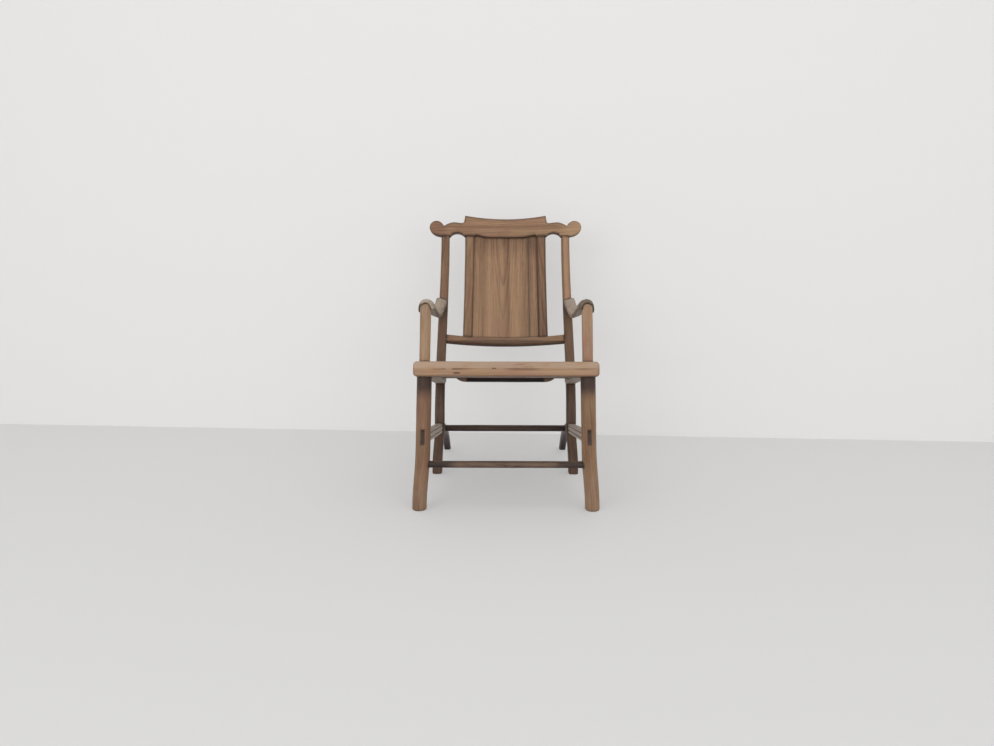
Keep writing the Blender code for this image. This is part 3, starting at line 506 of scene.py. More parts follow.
def behind(z):
    return Vector((0.0, math.cos(back_lean(z)), -math.sin(back_lean(z))))


def bow(x):
    return BACK_BOW * (1.0 - (x / STILE_X) ** 2)


def bow_across(x, z):
    slope = -2.0 * BACK_BOW * x / STILE_X ** 2
    return (RIGHT + behind(z) * slope).normalized()


def stile_point(side, z):
    return Vector((side * (STILE_X + foot_flare(z, STILE_FLARE)), stile_y(z), z))


def back_point(x, z):
    return Vector((x, stile_y(z), z)) + behind(z) * bow(x)


def stile_depth(z):
    return mix(STILE_DEPTH, STILE_TOP_DEPTH, smoothstep(z / CREST_BASE_HEIGHT))


def upward(along):
    """Direction square to a run in the side plane, on its upper side."""
    through = along.cross(RIGHT).normalized()
    return through if through.z > 0.0 else -through


LEG_AT_SEAT = leg_point(1, SEAT_FRONT_HEIGHT)
SEAT_FRONT_Y = LEG_AT_SEAT.y - LEG_DIAMETER / 2 - FRONT_RAIL_AHEAD
FRONT_RAIL_DEPTH = FRONT_RAIL_AHEAD + (LEG_DIAMETER + POST_DIAMETER) / 2 + FRONT_RAIL_BEHIND
FRONT_RAIL_HALF = LEG_AT_SEAT.x + LEG_DIAMETER / 2 + FRONT_RAIL_OVERHANG
SEAT = (Matrix.Translation((0.0, SEAT_FRONT_Y, SEAT_FRONT_HEIGHT))
        @ Matrix.Rotation(-SEAT_SLOPE, 4, "X"))
FROM_SEAT = SEAT.inverted()
SEAT_UP = (SEAT.to_3x3() @ UP).normalized()
SEAT_BACK = (SEAT.to_3x3() @ BACK).normalized()


def seat_reach(depth):
    """Distance from the seat's front edge to the stile's centre line, at a depth under the seat."""
    low, high = 0.0, CREST_BASE_HEIGHT
    for _ in range(SEAT_HALVINGS):
        z = (low + high) / 2
        over = SEAT_UP.dot(stile_point(1, z) - SEAT.translation)
        low, high = (z, high) if over < -depth else (low, z)
    return SEAT_BACK.dot(stile_point(1, z) - SEAT.translation)


REAR_RAIL_FRONT = seat_reach(REAR_RAIL_END_HEIGHT / 2) - REAR_RAIL_DEPTH / 2
SEAT_INNER_HALF = STILE_X - SIDE_RAIL_WIDTH / 2
STILE_INNER_X = STILE_X - STILE_WIDTH / 2
STILE_OUTER_X = STILE_X + STILE_WIDTH / 2
PANEL_HALF = INNER_POST_X - INNER_POST_WIDTH / 2
HEADREST_HALF = INNER_POST_X + INNER_POST_WIDTH / 2
ARCH_X = (HEADREST_HALF + STILE_INNER_X) / 2
ARCH_RADIUS = (STILE_INNER_X - HEADREST_HALF) / 2 + ARCH_RELIEF
SHOULDER_CROWN_X = ARCH_X + SHOULDER_CROWN_OFFSET
EAR_X = STILE_X + EAR_OFFSET
NOTCH_X = EAR_X - math.sqrt(EAR_RADIUS ** 2 - (NOTCH_RISE - EAR_RISE) ** 2)
EAR_TIP_X = EAR_X + EAR_RADIUS
LOWER_RAIL_TOP = LOWER_RAIL_CENTRE + LOWER_RAIL_HEIGHT / 2 * math.cos(back_lean(LOWER_RAIL_CENTRE))


# Shader and geometry nodes


class Signal:
    """Output of a node; arithmetic on it adds Math nodes to its tree."""

    def __init__(self, socket):
        self.socket = socket

    def node(self, kind, settings=None, sockets=None, output=0):
        """Adds a node: its settings are set first, then its sockets take values or links."""
        tree = self.socket.id_data
        new = tree.nodes.new(kind)
        for name, value in (settings or {}).items():
            setattr(new, name, value)
        for key, value in (sockets or {}).items():
            if isinstance(value, Signal):
                tree.links.new(value.socket, new.inputs[key])
            else:
                new.inputs[key].default_value = value
        return Signal(new.outputs[output]) if new.outputs else None

    def math(self, operation, a, b=0.0):
        return self.node("ShaderNodeMath", {"operation": operation}, {0: a, 1: b})

    def __add__(self, other):
        return self.math("ADD", self, other)

    def __sub__(self, other):
        return self.math("SUBTRACT", self, other)

    def __rsub__(self, other):
        return self.math("SUBTRACT", other, self)

    def __mul__(self, other):
        return self.math("MULTIPLY", self, other)

    def __truediv__(self, other):
        return self.math("DIVIDE", self, other)

    __radd__ = __add__
    __rmul__ = __mul__

    def line(self, start, slope):
        return start + slope * self

    def step(self, low, high):
        """Smooth rise from 0 to 1 as the signal goes from low to high."""
        return self.node("ShaderNodeMapRange", {"interpolation_type": "SMOOTHSTEP"},
                         {"Value": self, "From Min": low, "From Max": high})

    def stretched(self, scale):
        """Vector signal times a scale for each axis."""
        return self.node("ShaderNodeVectorMath", {"operation": "MULTIPLY"}, {0: self, 1: scale})

    def parts(self):
        split = self.node("ShaderNodeSeparateXYZ", None, {0: self}).socket.node
        return [Signal(output) for output in split.outputs]

    def noise(self, scale, detail=2.0, roughness=0.5, output=0):
        """Noise on a vector signal that is stretched first, about 0.5."""
        return self.node("ShaderNodeTexNoise", {"noise_dimensions": "3D"},
                         {"Vector": self.stretched(scale), "Scale": 1.0, "Detail": detail,
                          "Roughness": roughness}, output)

    def clamped(self):
        return self.node("ShaderNodeClamp", None, {0: self})

    def blend(self, colour, other):
        """Colour mixed with another one, by this signal."""
        return self.node("ShaderNodeMix", {"data_type": "RGBA"}, {0: self, 6: colour, 7: other}, 2)


# Meshes


def placed(name, data):
    """New object in the scene, at the origin."""
    made = bpy.data.objects.new(name, data)
    bpy.context.scene.collection.objects.link(made)
    return made


def closed_mesh(points, faces, timber):
    """Mesh with outward faces that keeps each point's place in its plank."""
    mesh = bpy.data.meshes.new("timber")
    mesh.from_pydata(points, [], faces)
    places = mesh.attributes.new("timber", "FLOAT_VECTOR", "POINT")
    places.data.foreach_set("vector", np.asarray(timber, np.float32).ravel())
    return reworked(mesh)


def reworked(mesh, change=None):
    """Mesh after a change to its faces, with all of them turned outwards."""
    bm = bmesh.new()
    bm.from_mesh(mesh)
    if change:
        change(bm)
    bmesh.ops.recalc_face_normals(bm, faces=bm.faces)
    bm.to_mesh(mesh)
    bm.free()
    return mesh


def ring(origin, across, through, outline):
    return Ring(origin, outline, [origin + across * a + through * b for a, b in outline])


def scribed(old, along, surface):
    """Ring slid along a run until each point lies on a surface, where surface(point) changes sign."""
    points = []
    for point in old.points:
        low, high = -SCRIBE_REACH, SCRIBE_REACH
        for _ in range(SCRIBE_HALVINGS):
            middle = (low + high) / 2
            low, high = (middle, high) if surface(point + along * middle) < 0.0 else (low, middle)
        points.append(point + along * low)
    return Ring(old.origin, old.outline, points)


def pick_pith():
    """Where the middle of the tree lay from a piece's own middle, across and through it."""
    return planks.uniform(-PITH_ACROSS, PITH_ACROSS), planks.uniform(*PITH_THROUGH)


def loft(rings, pith=None):
    """Closed solid through rings of equal count, its grain along the run."""
    pith = pith or pick_pith()
    run = planks.uniform(0.0, PLANK_LENGTH)
    points, timber = [], []
    last = rings[0].origin
    for place in rings:
        run += (place.origin - last).length
        last = place.origin
        points += place.points
        timber += [(run, a + pith[0], b + pith[1]) for a, b in place.outline]
    count = len(rings[0].points)
    faces = []
    for low in range(0, len(points) - count, count):
        for i in range(count):
            j = (i + 1) % count
            faces.append((low + i, low + j, low + count + j, low + count + i))
    faces.append(tuple(range(count)))
    faces.append(tuple(range(len(points) - count, len(points))))
    return closed_mesh(points, faces, timber)


def joined(meshes):
    """One mesh from several closed ones."""
    bm = bmesh.new()
    for mesh in meshes:
        bm.from_mesh(mesh)
    bm.to_mesh(meshes[0])
    bm.free()
    return meshes[0]


BAR_INPUTS = {"Width": "NodeSocketFloat", "Height": "NodeSocketFloat", "Edge Radius": "NodeSocketFloat",
              "Section Points": "NodeSocketInt", "Step": "NodeSocketFloat", "Tilt": "NodeSocketFloat",
              "Bead Offset": "NodeSocketFloat", "Bead Width": "NodeSocketFloat",
              "Bead Groove": "NodeSocketFloat", "Plank Place": "NodeSocketVector",
              "Finish": "NodeSocketMaterial"}


def bar_tree():
    """Tree that sweeps a rounded section, with or without beads, along the object's own curve."""
    tree = bpy.data.node_groups.new("swept_bar", "GeometryNodeTree")
    tree.interface.new_socket("Geometry", in_out="OUTPUT", socket_type="NodeSocketGeometry")
    tree.interface.new_socket("Path", in_out="INPUT", socket_type="NodeSocketGeometry")
    keys = {label: tree.interface.new_socket(label, in_out="INPUT", socket_type=kind).identifier
            for label, kind in BAR_INPUTS.items()}
    start = tree.nodes.new("NodeGroupInput")
    given = {output.name: Signal(output) for output in start.outputs}
    node = given["Path"].node
    outline = node("GeometryNodeCurvePrimitiveQuadrilateral", None,
                   {"Width": given["Width"], "Height": given["Height"]})
    outline = node("GeometryNodeFilletCurve", {"mode": "POLY"},
                   {"Curve": outline, "Count": CORNER_FACETS, "Radius": given["Edge Radius"],
                    "Limit Radius": True})
    outline = node("GeometryNodeResampleCurve", {"mode": "COUNT"},
                   {"Curve": outline, "Count": given["Section Points"]})
    across, through, _ = node("GeometryNodeInputPosition").parts()
    from_bead = across.math("ABSOLUTE", across.math("ABSOLUTE", through) - given["Bead Offset"])
    in_groove = across.math("MAXIMUM", 1.0 - 2.0 * from_bead / given["Bead Width"], 0.0)
    on_face = across.math("GREATER_THAN", across.math("ABSOLUTE", across),
                          BEAD_FACE * given["Width"])
    sunk = across.math("SIGN", across) * in_groove * on_face * given["Bead Groove"] * -1.0
    sunk = node("ShaderNodeCombineXYZ", None, {"X": sunk})
    outline = node("GeometryNodeSetPosition", None, {"Geometry": outline, "Offset": sunk})
    path = node("GeometryNodeResampleCurve", {"mode": "LENGTH"},
                {"Curve": given["Path"], "Length": given["Step"]})
    path = node("GeometryNodeSetCurveNormal", {"mode": "Z_UP"}, {"Curve": path})
    path = node("GeometryNodeSetCurveTilt", None, {"Curve": path, "Tilt": given["Tilt"]})
    outline, section = captured(outline, "VECTOR", node("GeometryNodeInputPosition"))
    path, length = captured(path, "FLOAT", node("GeometryNodeSplineParameter", None, None, "Length"))
    bar = node("GeometryNodeCurveToMesh", None,
               {"Curve": path, "Profile Curve": outline, "Fill Caps": True})
    across, through, _ = section.parts()
    place = node("ShaderNodeCombineXYZ", None, {"X": length, "Y": across, "Z": through})
    place = node("ShaderNodeVectorMath", {"operation": "ADD"}, {0: place, 1: given["Plank Place"]})
    bar = node("GeometryNodeStoreNamedAttribute", {"data_type": "FLOAT_VECTOR", "domain": "POINT"},
               {"Geometry": bar, "Name": "timber", "Value": place})
    bar = node("GeometryNodeRealizeInstances", None, {"Geometry": bar})
    bar = node("GeometryNodeSetMaterial", None, {"Geometry": bar, "Material": given["Finish"]})
    node("NodeGroupOutput", None, {"Geometry": bar})
    return tree, keys


def captured(geometry, kind, value):
    """Geometry that carries a value along, and the value as it is carried."""
    carrier = geometry.node("GeometryNodeCaptureAttribute", None, {"Geometry": geometry}).socket.node
    carrier.capture_items.new(kind, "carried")
    carrier.id_data.links.new(value.socket, carrier.inputs["carried"])
    return Signal(carrier.outputs["Geometry"]), Signal(carrier.outputs["carried"])


def swept_bar(path, width, height, edge, points, tilt=0.0, groove=0.0, pith=None):
    """Bar along a path, as a plain mesh."""
    pith = pith or pick_pith()
    line = bpy.data.curves.new("bar_path", "CURVE")
    line.dimensions = "3D"
    spline = line.splines.new("POLY")
    spline.points.add(len(path) - 1)
    for point, place in zip(spline.points, path):
        point.co = (*place, 1.0)
    carrier = placed("bar_path", line)
    modifier = carrier.modifiers.new("swept_bar", "NODES")
    modifier.node_group = BAR_TREE
    sizes = {"Width": width, "Height": height, "Edge Radius": edge, "Section Points": points,
             "Step": RUN_STEP, "Tilt": tilt, "Bead Offset": BEAD_OFFSET, "Bead Width": BEAD_WIDTH,
             "Bead Groove": groove, "Plank Place": (planks.uniform(0.0, PLANK_LENGTH), *pith)}
    for label, value in sizes.items():
        modifier[BAR_KEYS[label]] = value
    made = carrier.evaluated_get(bpy.context.evaluated_depsgraph_get())
    mesh = bpy.data.meshes.new_from_object(made)
    bpy.data.objects.remove(carrier)
    bpy.data.curves.remove(line)
    return reworked(mesh)


BAR_TREE, BAR_KEYS = bar_tree()
pieces = []


def even(stain=0.0, tone=0.0, rubbed=0.0):
    """Shade that is the same all over a piece."""
    return lambda point: (stain, tone, rubbed)


def add_piece(node, mesh, finish, shade=even()):
    """Shown piece in place of a node; shade(point) gives its staining, its tone and how far it is rubbed,
    in places as painted shade and painted light.
    """
    pieces.append((placed(f"{node}_timber", mesh), node, finish, shade))


# Front legs


def stretcher_run(side):
    front = leg_point(side, SIDE_STRETCHER_FRONT)
    rear = stile_point(side, SIDE_STRETCHER_REAR)
    return front, rear, (rear - front).normalized()


def slot_heights(side):
    """Lower and upper end of the slot that a side stretcher's tenon and wedge fill in the leg's front."""
    front, _, along = stretcher_run(side)
    middle = front.z - along.z * LEG_DIAMETER / 2
    return middle - TENON_TALL / 2 - SEAM, middle + TENON_TALL / 2 + WEDGE_HEAD + 3 * SEAM


def leg_radius(z):
    """Full under the seat frame, thinner above: the change is hidden in the front rail."""
    middle = (SEAT @ Vector((0.0, LEG_AT_SEAT.y - SEAT_FRONT_Y, -RAIL_HEIGHT / 2))).z
    share = fade(z, middle - RAIL_HEIGHT / 4, RAIL_HEIGHT / 2)
    return mix(LEG_DIAMETER / 2, POST_DIAMETER / 2, share)


def front_leg(label, side):
    slot_low, slot_high = slot_heights(side)
    top = ARM_HEAD_HEIGHT - ARM_HEAD_THICKNESS / 2
    heights = rounded_tip(FOOT_EASE)[:-1]
    heights += run_stations(FOOT_EASE, slot_low)[:-1] + run_stations(slot_low, slot_high)[:-1]
    heights += run_stations(slot_high, top - POST_DOME)
    heights += [top - tip for tip in reversed(rounded_tip(POST_DOME, POST_DOME_RINGS)[1:-1])]
    rings = []
    for z in heights:
        dome = POST_DIAMETER / 2 / POST_DOME * ease(top - z, POST_DOME)
        size = 2 * (leg_radius(z) - ease(z, FOOT_EASE) - dome)
        rings.append(ring(leg_point(side, z), RIGHT, BACK, round_section(size)))
    mesh = sink_slot(loft(rings), side, slot_low, slot_high)

    def shade(point):
        if point.z > SEAT_FRONT_HEIGHT - RAIL_HEIGHT / 2:
            return POST_SHADE
        # Painted shadow of the front rail on the top of the leg
        rail_shadow = fade(point.z, *LEG_RAIL_SHADOW)
        low = fade(point.z, *LEG_WORN)
        return mix(LEG_STAIN, 1.0, rail_shadow), LEG_TONES[label] + LEG_WORN_TONE * low, LEG_WORN_RUB * low
    add_piece(f"front_leg_{label}", mesh, "warm_elm", shade)


def sink_slot(mesh, side, low, high):
    """Pushes the slot's faces into the leg's front, along the stretcher."""
    along = stretcher_run(side)[2]
    half = LEG_DIAMETER / 2 * math.sin(2 * math.pi * SLOT_COLUMNS / ROUND_FACETS)

    def sink(bm):
        chosen = []
        for face in bm.faces:
            middle = face.calc_center_median()
            axis = leg_point(side, middle.z)
            if low < middle.z < high and middle.y < axis.y and abs(middle.x - axis.x) < half:
                chosen.append(face)
        bmesh.ops.inset_region(bm, faces=chosen, thickness=SLOT_RIM, use_even_offset=True)
        sunk = bmesh.ops.extrude_face_region(bm, geom=chosen)["geom"]
        floor = [part for part in sunk if isinstance(part, bmesh.types.BMVert)]
        bmesh.ops.translate(bm, vec=along * SLOT_DEPTH, verts=floor)
        bmesh.ops.delete(bm, geom=chosen, context="FACES")
    return reworked(mesh, sink)


# Stiles


def stile(label, side):
    heights = rounded_tip(FOOT_EASE)[:-1] + run_stations(FOOT_EASE, CREST_BASE_HEIGHT + LAP)
    rings = []
    for z in heights:
        wide = mix(STILE_FOOT_WIDTH, STILE_TOP_WIDTH, z / CREST_BASE_HEIGHT)
        outline = bar_section(wide, stile_depth(z), STILE_EDGE, ease(z, FOOT_EASE))
        rings.append(ring(stile_point(side, z), RIGHT, behind(z), outline))

    def shade(point):
        # Below the arm the stile is darkened: partly stain, partly painted shade
        under = fade(point.z, *STILE_DARK)
        stain = STILE_STAIN_AND_SHADE + STILE_LOW_STAIN_AND_SHADE * fade(point.z, *STILE_LOW)
        stain += STILE_CLOSE_STAIN_AND_SHADE * fade(point.z, *STILE_CLOSE)
        return under * stain, STILE_TONES[label] * (1.0 - under), 0.0
    add_piece(f"back_stile_{label}", loft(rings), "warm_elm", shade)


def stile_front(side):
    """Signed distance past the stile's front face, carried out sideways."""
    def past(point):
        z = point.z
        return (point - stile_point(side, z)).dot(behind(z)) + stile_depth(z) / 2
    return past


# Crest rail


def ear_height(x):
    across = min(abs(x - EAR_X) / EAR_RADIUS, 1.0)
    return EAR_RISE + EAR_RADIUS * math.sqrt(1.0 - across * across)


def eased_notch(a, b):
    """The higher of two heights, with the notch between them eased."""
    share = max(NOTCH_EASE - abs(a - b), 0.0) / NOTCH_EASE
    return max(a, b) + share * share * NOTCH_EASE / 4


def crest_top(x):
    """Upper outline: hollowed headrest, step, shoulder, notch and ear."""
    if x <= HEADREST_HALF:
        return HEADREST_RISE - HEADREST_HOLLOW * (1.0 - (x / HEADREST_HALF) ** 2)
    shoulder_start = HEADREST_HALF + HEADREST_STEP
    if x < shoulder_start:
        left = 1.0 - (x - HEADREST_HALF) / HEADREST_STEP
        return mix(SHOULDER_RISE, HEADREST_RISE, left ** HEADREST_COVE)
    if x < SHOULDER_CROWN_X:
        return SHOULDER_RISE + SHOULDER_CROWN * fade(x, shoulder_start, SHOULDER_CROWN_X - shoulder_start)
    if x < EAR_X:
        fall = min((x - SHOULDER_CROWN_X) / (NOTCH_X - SHOULDER_CROWN_X), 1.0) ** SHOULDER_ROUND
        return eased_notch(mix(SHOULDER_RISE + SHOULDER_CROWN, NOTCH_RISE, fall), ear_height(x))
    return ear_height(x)


def crest_bottom(x):
    """Lower outline: apron over the panel, arch, seat of the stile, and the ear's round."""
    if x < PANEL_HALF:
        return CREST_LIFT + mix(-APRON_DROP, APRON_LIFT, fade(x, APRON_FLAT, PANEL_HALF - APRON_FLAT))
    base = CREST_LIFT if x < ARCH_X else 0.0
    arch = abs(x - ARCH_X)
    if arch < ARCH_RADIUS:
        return max(base, ARCH_FLATNESS * (ARCH_SPRING + math.sqrt(ARCH_RADIUS ** 2 - arch ** 2)))
    if x <= STILE_OUTER_X:
        return base
    across = (x - STILE_OUTER_X) / (EAR_TIP_X - STILE_OUTER_X)
    return EAR_RISE * (1.0 - math.sqrt(max(0.0, 1.0 - across * across)))


def crest_stations():
    """Places along half the crest, close together where its outline turns."""
    places = run_stations(0.0, PANEL_HALF - SEAM, CREST_STEP)
    places += run_stations(PANEL_HALF + SEAM, HEADREST_HALF, CREST_POST_STEP)
    places += stations(HEADREST_HALF, HEADREST_HALF + HEADREST_STEP, COVE_SECTIONS)
    places += [ARCH_X + ARCH_RADIUS * math.cos(a) for a in stations(math.pi, 0.0, ARCH_SECTIONS)]
    places += run_stations(SHOULDER_CROWN_X, NOTCH_X, NOTCH_STEP)
    places += run_stations(NOTCH_X, STILE_OUTER_X, NOTCH_STEP)
    places += [EAR_X + EAR_RADIUS * math.sin(a) for a in stations(*EAR_TURN, EAR_SECTIONS)]
    return sorted(set(round(x, 6) for x in places))


def crest_rail():
    """Rail cut to its outline and rounded over round it: its depth follows the distance from its edge."""
    half = crest_stations()
    edge = [(x, crest_top(x)) for x in half] + [(x, crest_bottom(x)) for x in reversed(half)]
    edge = np.array([(-x, z) for x, z in reversed(edge)] + edge)
    first, second = edge, np.roll(edge, -1, axis=0)
    run = second - first
    run_squared = np.maximum((run ** 2).sum(1), SHORTEST_SQUARED)

    def edge_distance(x, heights):
        point = np.stack([np.full(len(heights), x), heights], 1)[:, None, :]
        share = np.clip(((point - first) * run).sum(2) / run_squared, 0.0, 1.0)
        return np.sqrt(((first + run * share[..., None] - point) ** 2).sum(2).min(1))
    lean_up, lean_back = up_back(CREST_BASE_HEIGHT), behind(CREST_BASE_HEIGHT)
    rings = []
    for x in [-x for x in reversed(half[1:])] + half:
        low, high = crest_bottom(abs(x)), crest_top(abs(x))
        turn = min(CREST_EDGE, CREST_MOST_ROUND * (high - low))
        tips = [turn / CREST_EDGE * tip for tip in rounded_tip(CREST_EDGE)]
        heights = [low + tip for tip in tips] + stations(low + turn, high - turn, CREST_FACE_POINTS)[1:-1]
        heights += [high - tip for tip in reversed(tips)]
        depth = mix(CREST_DEPTH, CREST_END_DEPTH, (x / EAR_TIP_X) ** 2)
        thick = [depth / 2 - ease(d, CREST_EDGE) for d in edge_distance(x, np.array(heights))]
        outline = [(-d, z) for d, z in zip(thick, heights)]
        outline += [(d, z) for d, z in zip(reversed(thick), reversed(heights))]
        rings.append(ring(back_point(x, CREST_BASE_HEIGHT), lean_back, lean_up, outline))

    def shade(point):
        left, right = (fade(sign * point.x, *CREST_END) for sign in SIDES.values())
        tone = CREST_TONE + CREST_LEFT_TONE * left + CREST_RIGHT_TONE * right
        return 0.0, tone, CREST_RIGHT_RUB * right
    add_piece("crest_rail", loft(rings, CREST_PITH), "warm_elm", shade)


# Back rail, inner posts and panel


def lower_rail():
    end = STILE_INNER_X + LAP
    path = [back_point(x, LOWER_RAIL_CENTRE) for x in run_stations(-end, end)]
    mesh = swept_bar(path, LOWER_RAIL_DEPTH, LOWER_RAIL_HEIGHT, LOWER_RAIL_EDGE,
                     LOWER_RAIL_POINTS, tilt=-back_lean(LOWER_RAIL_CENTRE))

    def shade(point):
        # Painted shade on the rail's lower half
        return LOWER_RAIL_PAINTED_SHADE * fade(point.z, *LOWER_RAIL_DARK), LOWER_RAIL_TONE, 0.0
    add_piece("lower_back_rail", mesh, "warm_elm", shade)


def inner_post(label, side):
    x = side * (INNER_POST_X + INNER_POST_RELIEF / 2)
    outline = bar_section(INNER_POST_WIDTH - INNER_POST_RELIEF, INNER_POST_DEPTH, INNER_POST_EDGE)
    rings = []
    for z in run_stations(LOWER_RAIL_TOP - LAP, CREST_BASE_HEIGHT + CREST_LIFT + LAP):
        across = bow_across(x, z)
        rings.append(ring(back_point(x, z), across, across.cross(up_back(z)), outline))
    shade = even(tone=INNER_POST_TONES[label])
    add_piece(f"back_inner_post_{label}", loft(rings), "warm_elm", shade)


def panel_board(label, left, right, pith, tone):
    """Board of the back panel, S-curved in height and bowed across, eased at its joint."""
    half = PANEL_THICKNESS / 2
    places = [left, left + PANEL_JOINT_EASE]
    places += run_stations(left + PANEL_JOINT_MARGIN, right - PANEL_JOINT_MARGIN)
    places += [right - PANEL_JOINT_EASE, right]
    dips = [half - (PANEL_JOINT_EASE if x in (left, right) else 0.0) for x in places]
    outline = [(x, -dip) for x, dip in zip(places, dips)]
    outline += [(x, dip) for x, dip in zip(reversed(places), reversed(dips))]
    rings = []
    for z in run_stations(LOWER_RAIL_TOP - LAP, CREST_BASE_HEIGHT + CREST_LIFT + APRON_LIFT + LAP):
        points = [back_point(x, z) + behind(z) * depth for x, depth in outline]
        rings.append(Ring(back_point(0.0, z), outline, points))

    def shade(point):
        sides = PANEL_SIDE_TONE * (fade(abs(point.x), *PANEL_OUTER) + fade(point.x, *PANEL_RIGHT))
        # Darker at the top: painted shadow of the crest with some grime
        return 0.0, tone + sides + PANEL_TOP_SHADOW_AND_GRIME * fade(point.z, *PANEL_TOP), 0.0
    add_piece(f"back_panel_board_{label}", loft(rings, pith), "panel_elm", shade)


# Seat


def in_seat(rings):
    """Rings given in the seat's own plane, set into the chair."""
    return [Ring(SEAT @ old.origin, old.outline, [SEAT @ point for point in old.points])
            for old in rings]


def front_rail_section(inset, scratch):
    """Front edges rounded, back edges hardly, and a fine line scratched along the front face."""
    low, high = -RAIL_HEIGHT + inset, -inset
    turn, heel = FRONT_RAIL_EDGE, FRONT_RAIL_LOWER_EDGE
    front, back = inset, FRONT_RAIL_DEPTH - inset
    corner = stations(0.0, math.pi / 2, CORNER_FACETS + 1)
    line = -RAIL_LINE_DROP
    marks = stations(high - turn, line + RAIL_LINE_WIDTH / 2, RAIL_FACE_POINTS)[1:] + [line]
    marks += stations(line - RAIL_LINE_WIDTH / 2, low + heel, RAIL_FACE_POINTS)[:-1]
    outline = [(front + turn - turn * math.sin(a), high - turn + turn * math.cos(a)) for a in corner]
    outline += [(front + (scratch if z == line else 0.0), z) for z in marks]
    outline += [(front + heel - heel * math.cos(a), low + heel - heel * math.sin(a)) for a in corner]
    small = FRONT_RAIL_BACK_EDGE
    outline += [(y, low) for y in stations(front + heel, back - small, RAIL_TOP_POINTS)[1:]]
    outline += [(back, z) for z in stations(low + small, high - small, RAIL_BACK_POINTS)]
    outline += [(y, high) for y in reversed(stations(front + turn, back - small, RAIL_TOP_POINTS)[1:])]
    return outline


def front_rail():
    half = FRONT_RAIL_HALF
    tips = rounded_tip(FRONT_RAIL_CORNER)
    places = [-half + tip for tip in tips]
    places += run_stations(-half + tips[-1], half - tips[-1], RUN_STEP / 2)[1:-1]
    places += [half - tip for tip in reversed(tips)]
    rings = []
    for x in places:
        share = RAIL_LINE_USUAL + noise.noise(RIGHT * x * RAIL_LINE_SWAY)
        scratch = RAIL_LINE_DEPTH * min(max(share, RAIL_LINE_LEAST), RAIL_LINE_MOST)
        outline = front_rail_section(ease(half - abs(x), FRONT_RAIL_CORNER), scratch)
        rings.append(ring(Vector((x, 0.0, 0.0)), BACK, UP, outline))

    def shade(point):
        place = FROM_SEAT @ point
        upper = fade(place.z, *RAIL_UPPER)
        marked = 0.0
        for x, drop, wide, tall in RAIL_MARKS:
            away = Vector(((place.x - x) / wide, place.y / FRONT_RAIL_EDGE, (place.z + drop) / tall))
            marked = max(marked, RAIL_MARK_STRENGTH - away.length_squared)
        marked = min(marked, 1.0)
        rubbed = (RAIL_RUB + RAIL_UPPER_RUB * upper) * (1.0 - marked)
        return marked, RAIL_TONE + RAIL_UPPER_TONE * upper, rubbed
    add_piece("seat_front_rail", loft(in_seat(rings), FRONT_RAIL_PITH), "warm_elm", shade)


def side_rail(label, side):
    end = seat_reach(RAIL_HEIGHT / 2) - stile_depth(SEAT_FRONT_HEIGHT) / 2
    outline = bar_section(SIDE_RAIL_WIDTH, RAIL_HEIGHT, SIDE_RAIL_EDGE)
    rings = in_seat([ring(Vector((side * STILE_X, u, -RAIL_HEIGHT / 2)), RIGHT, UP, outline)
                     for u in run_stations(FRONT_RAIL_DEPTH + SEAM, end)])
    rings[-1] = scribed(rings[-1], SEAT_BACK, stile_front(side))
    shade = even(tone=SIDE_RAIL_TONE, rubbed=SIDE_RAIL_RUB)
    add_piece(f"seat_side_rail_{label}", loft(rings), "weathered_elm", shade)


def rear_rail_height(x):
    """Height of the rear rail: shallow at its ends, dropped between quarter-round corners."""
    across = min(max((abs(x) - REAR_RAIL_FLAT_HALF) / REAR_RAIL_ROUND, 0.0), 1.0)
    return REAR_RAIL_END_HEIGHT + REAR_RAIL_DROP * math.sqrt(1.0 - across * across)


def rear_rail():
    end = STILE_INNER_X + LAP
    full = REAR_RAIL_END_HEIGHT + REAR_RAIL_DROP
    places = run_stations(0.0, REAR_RAIL_FLAT_HALF)
    places += [REAR_RAIL_FLAT_HALF + REAR_RAIL_ROUND * math.sin(a)
               for a in stations(0.0, math.pi / 2, REAR_RAIL_SECTIONS)][1:]
    places += run_stations(places[-1], end)[1:]
    rings = []
    for x in [-x for x in reversed(places[1:])] + places:
        height = rear_rail_height(x)
        outline = [(a, b * height / full) for a, b in bar_section(REAR_RAIL_DEPTH, full, REAR_RAIL_EDGE)]
        centre = Vector((x, REAR_RAIL_FRONT + REAR_RAIL_DEPTH / 2, -height / 2))
        rings.append(ring(centre, BACK, UP, outline))

    def shade(point):
        place = FROM_SEAT @ point
        # Painted shadow in the middle of the front face; the ends are painted lighter and rubbed, as if
        # lit from the sides
        facing = fade(place.y, REAR_RAIL_FRONT + REAR_RAIL_DEPTH / 3, REAR_RAIL_FACE_SPAN)
        middle = fade(abs(place.x), *REAR_RAIL_MIDDLE)
        ends = (1.0 - middle) * facing
        return REAR_RAIL_PAINTED_SHADOW * middle * facing, REAR_RAIL_LIT_END_TONE * ends, ends
    add_piece("seat_rear_rail", loft(in_seat(rings)), "dark_elm", shade)


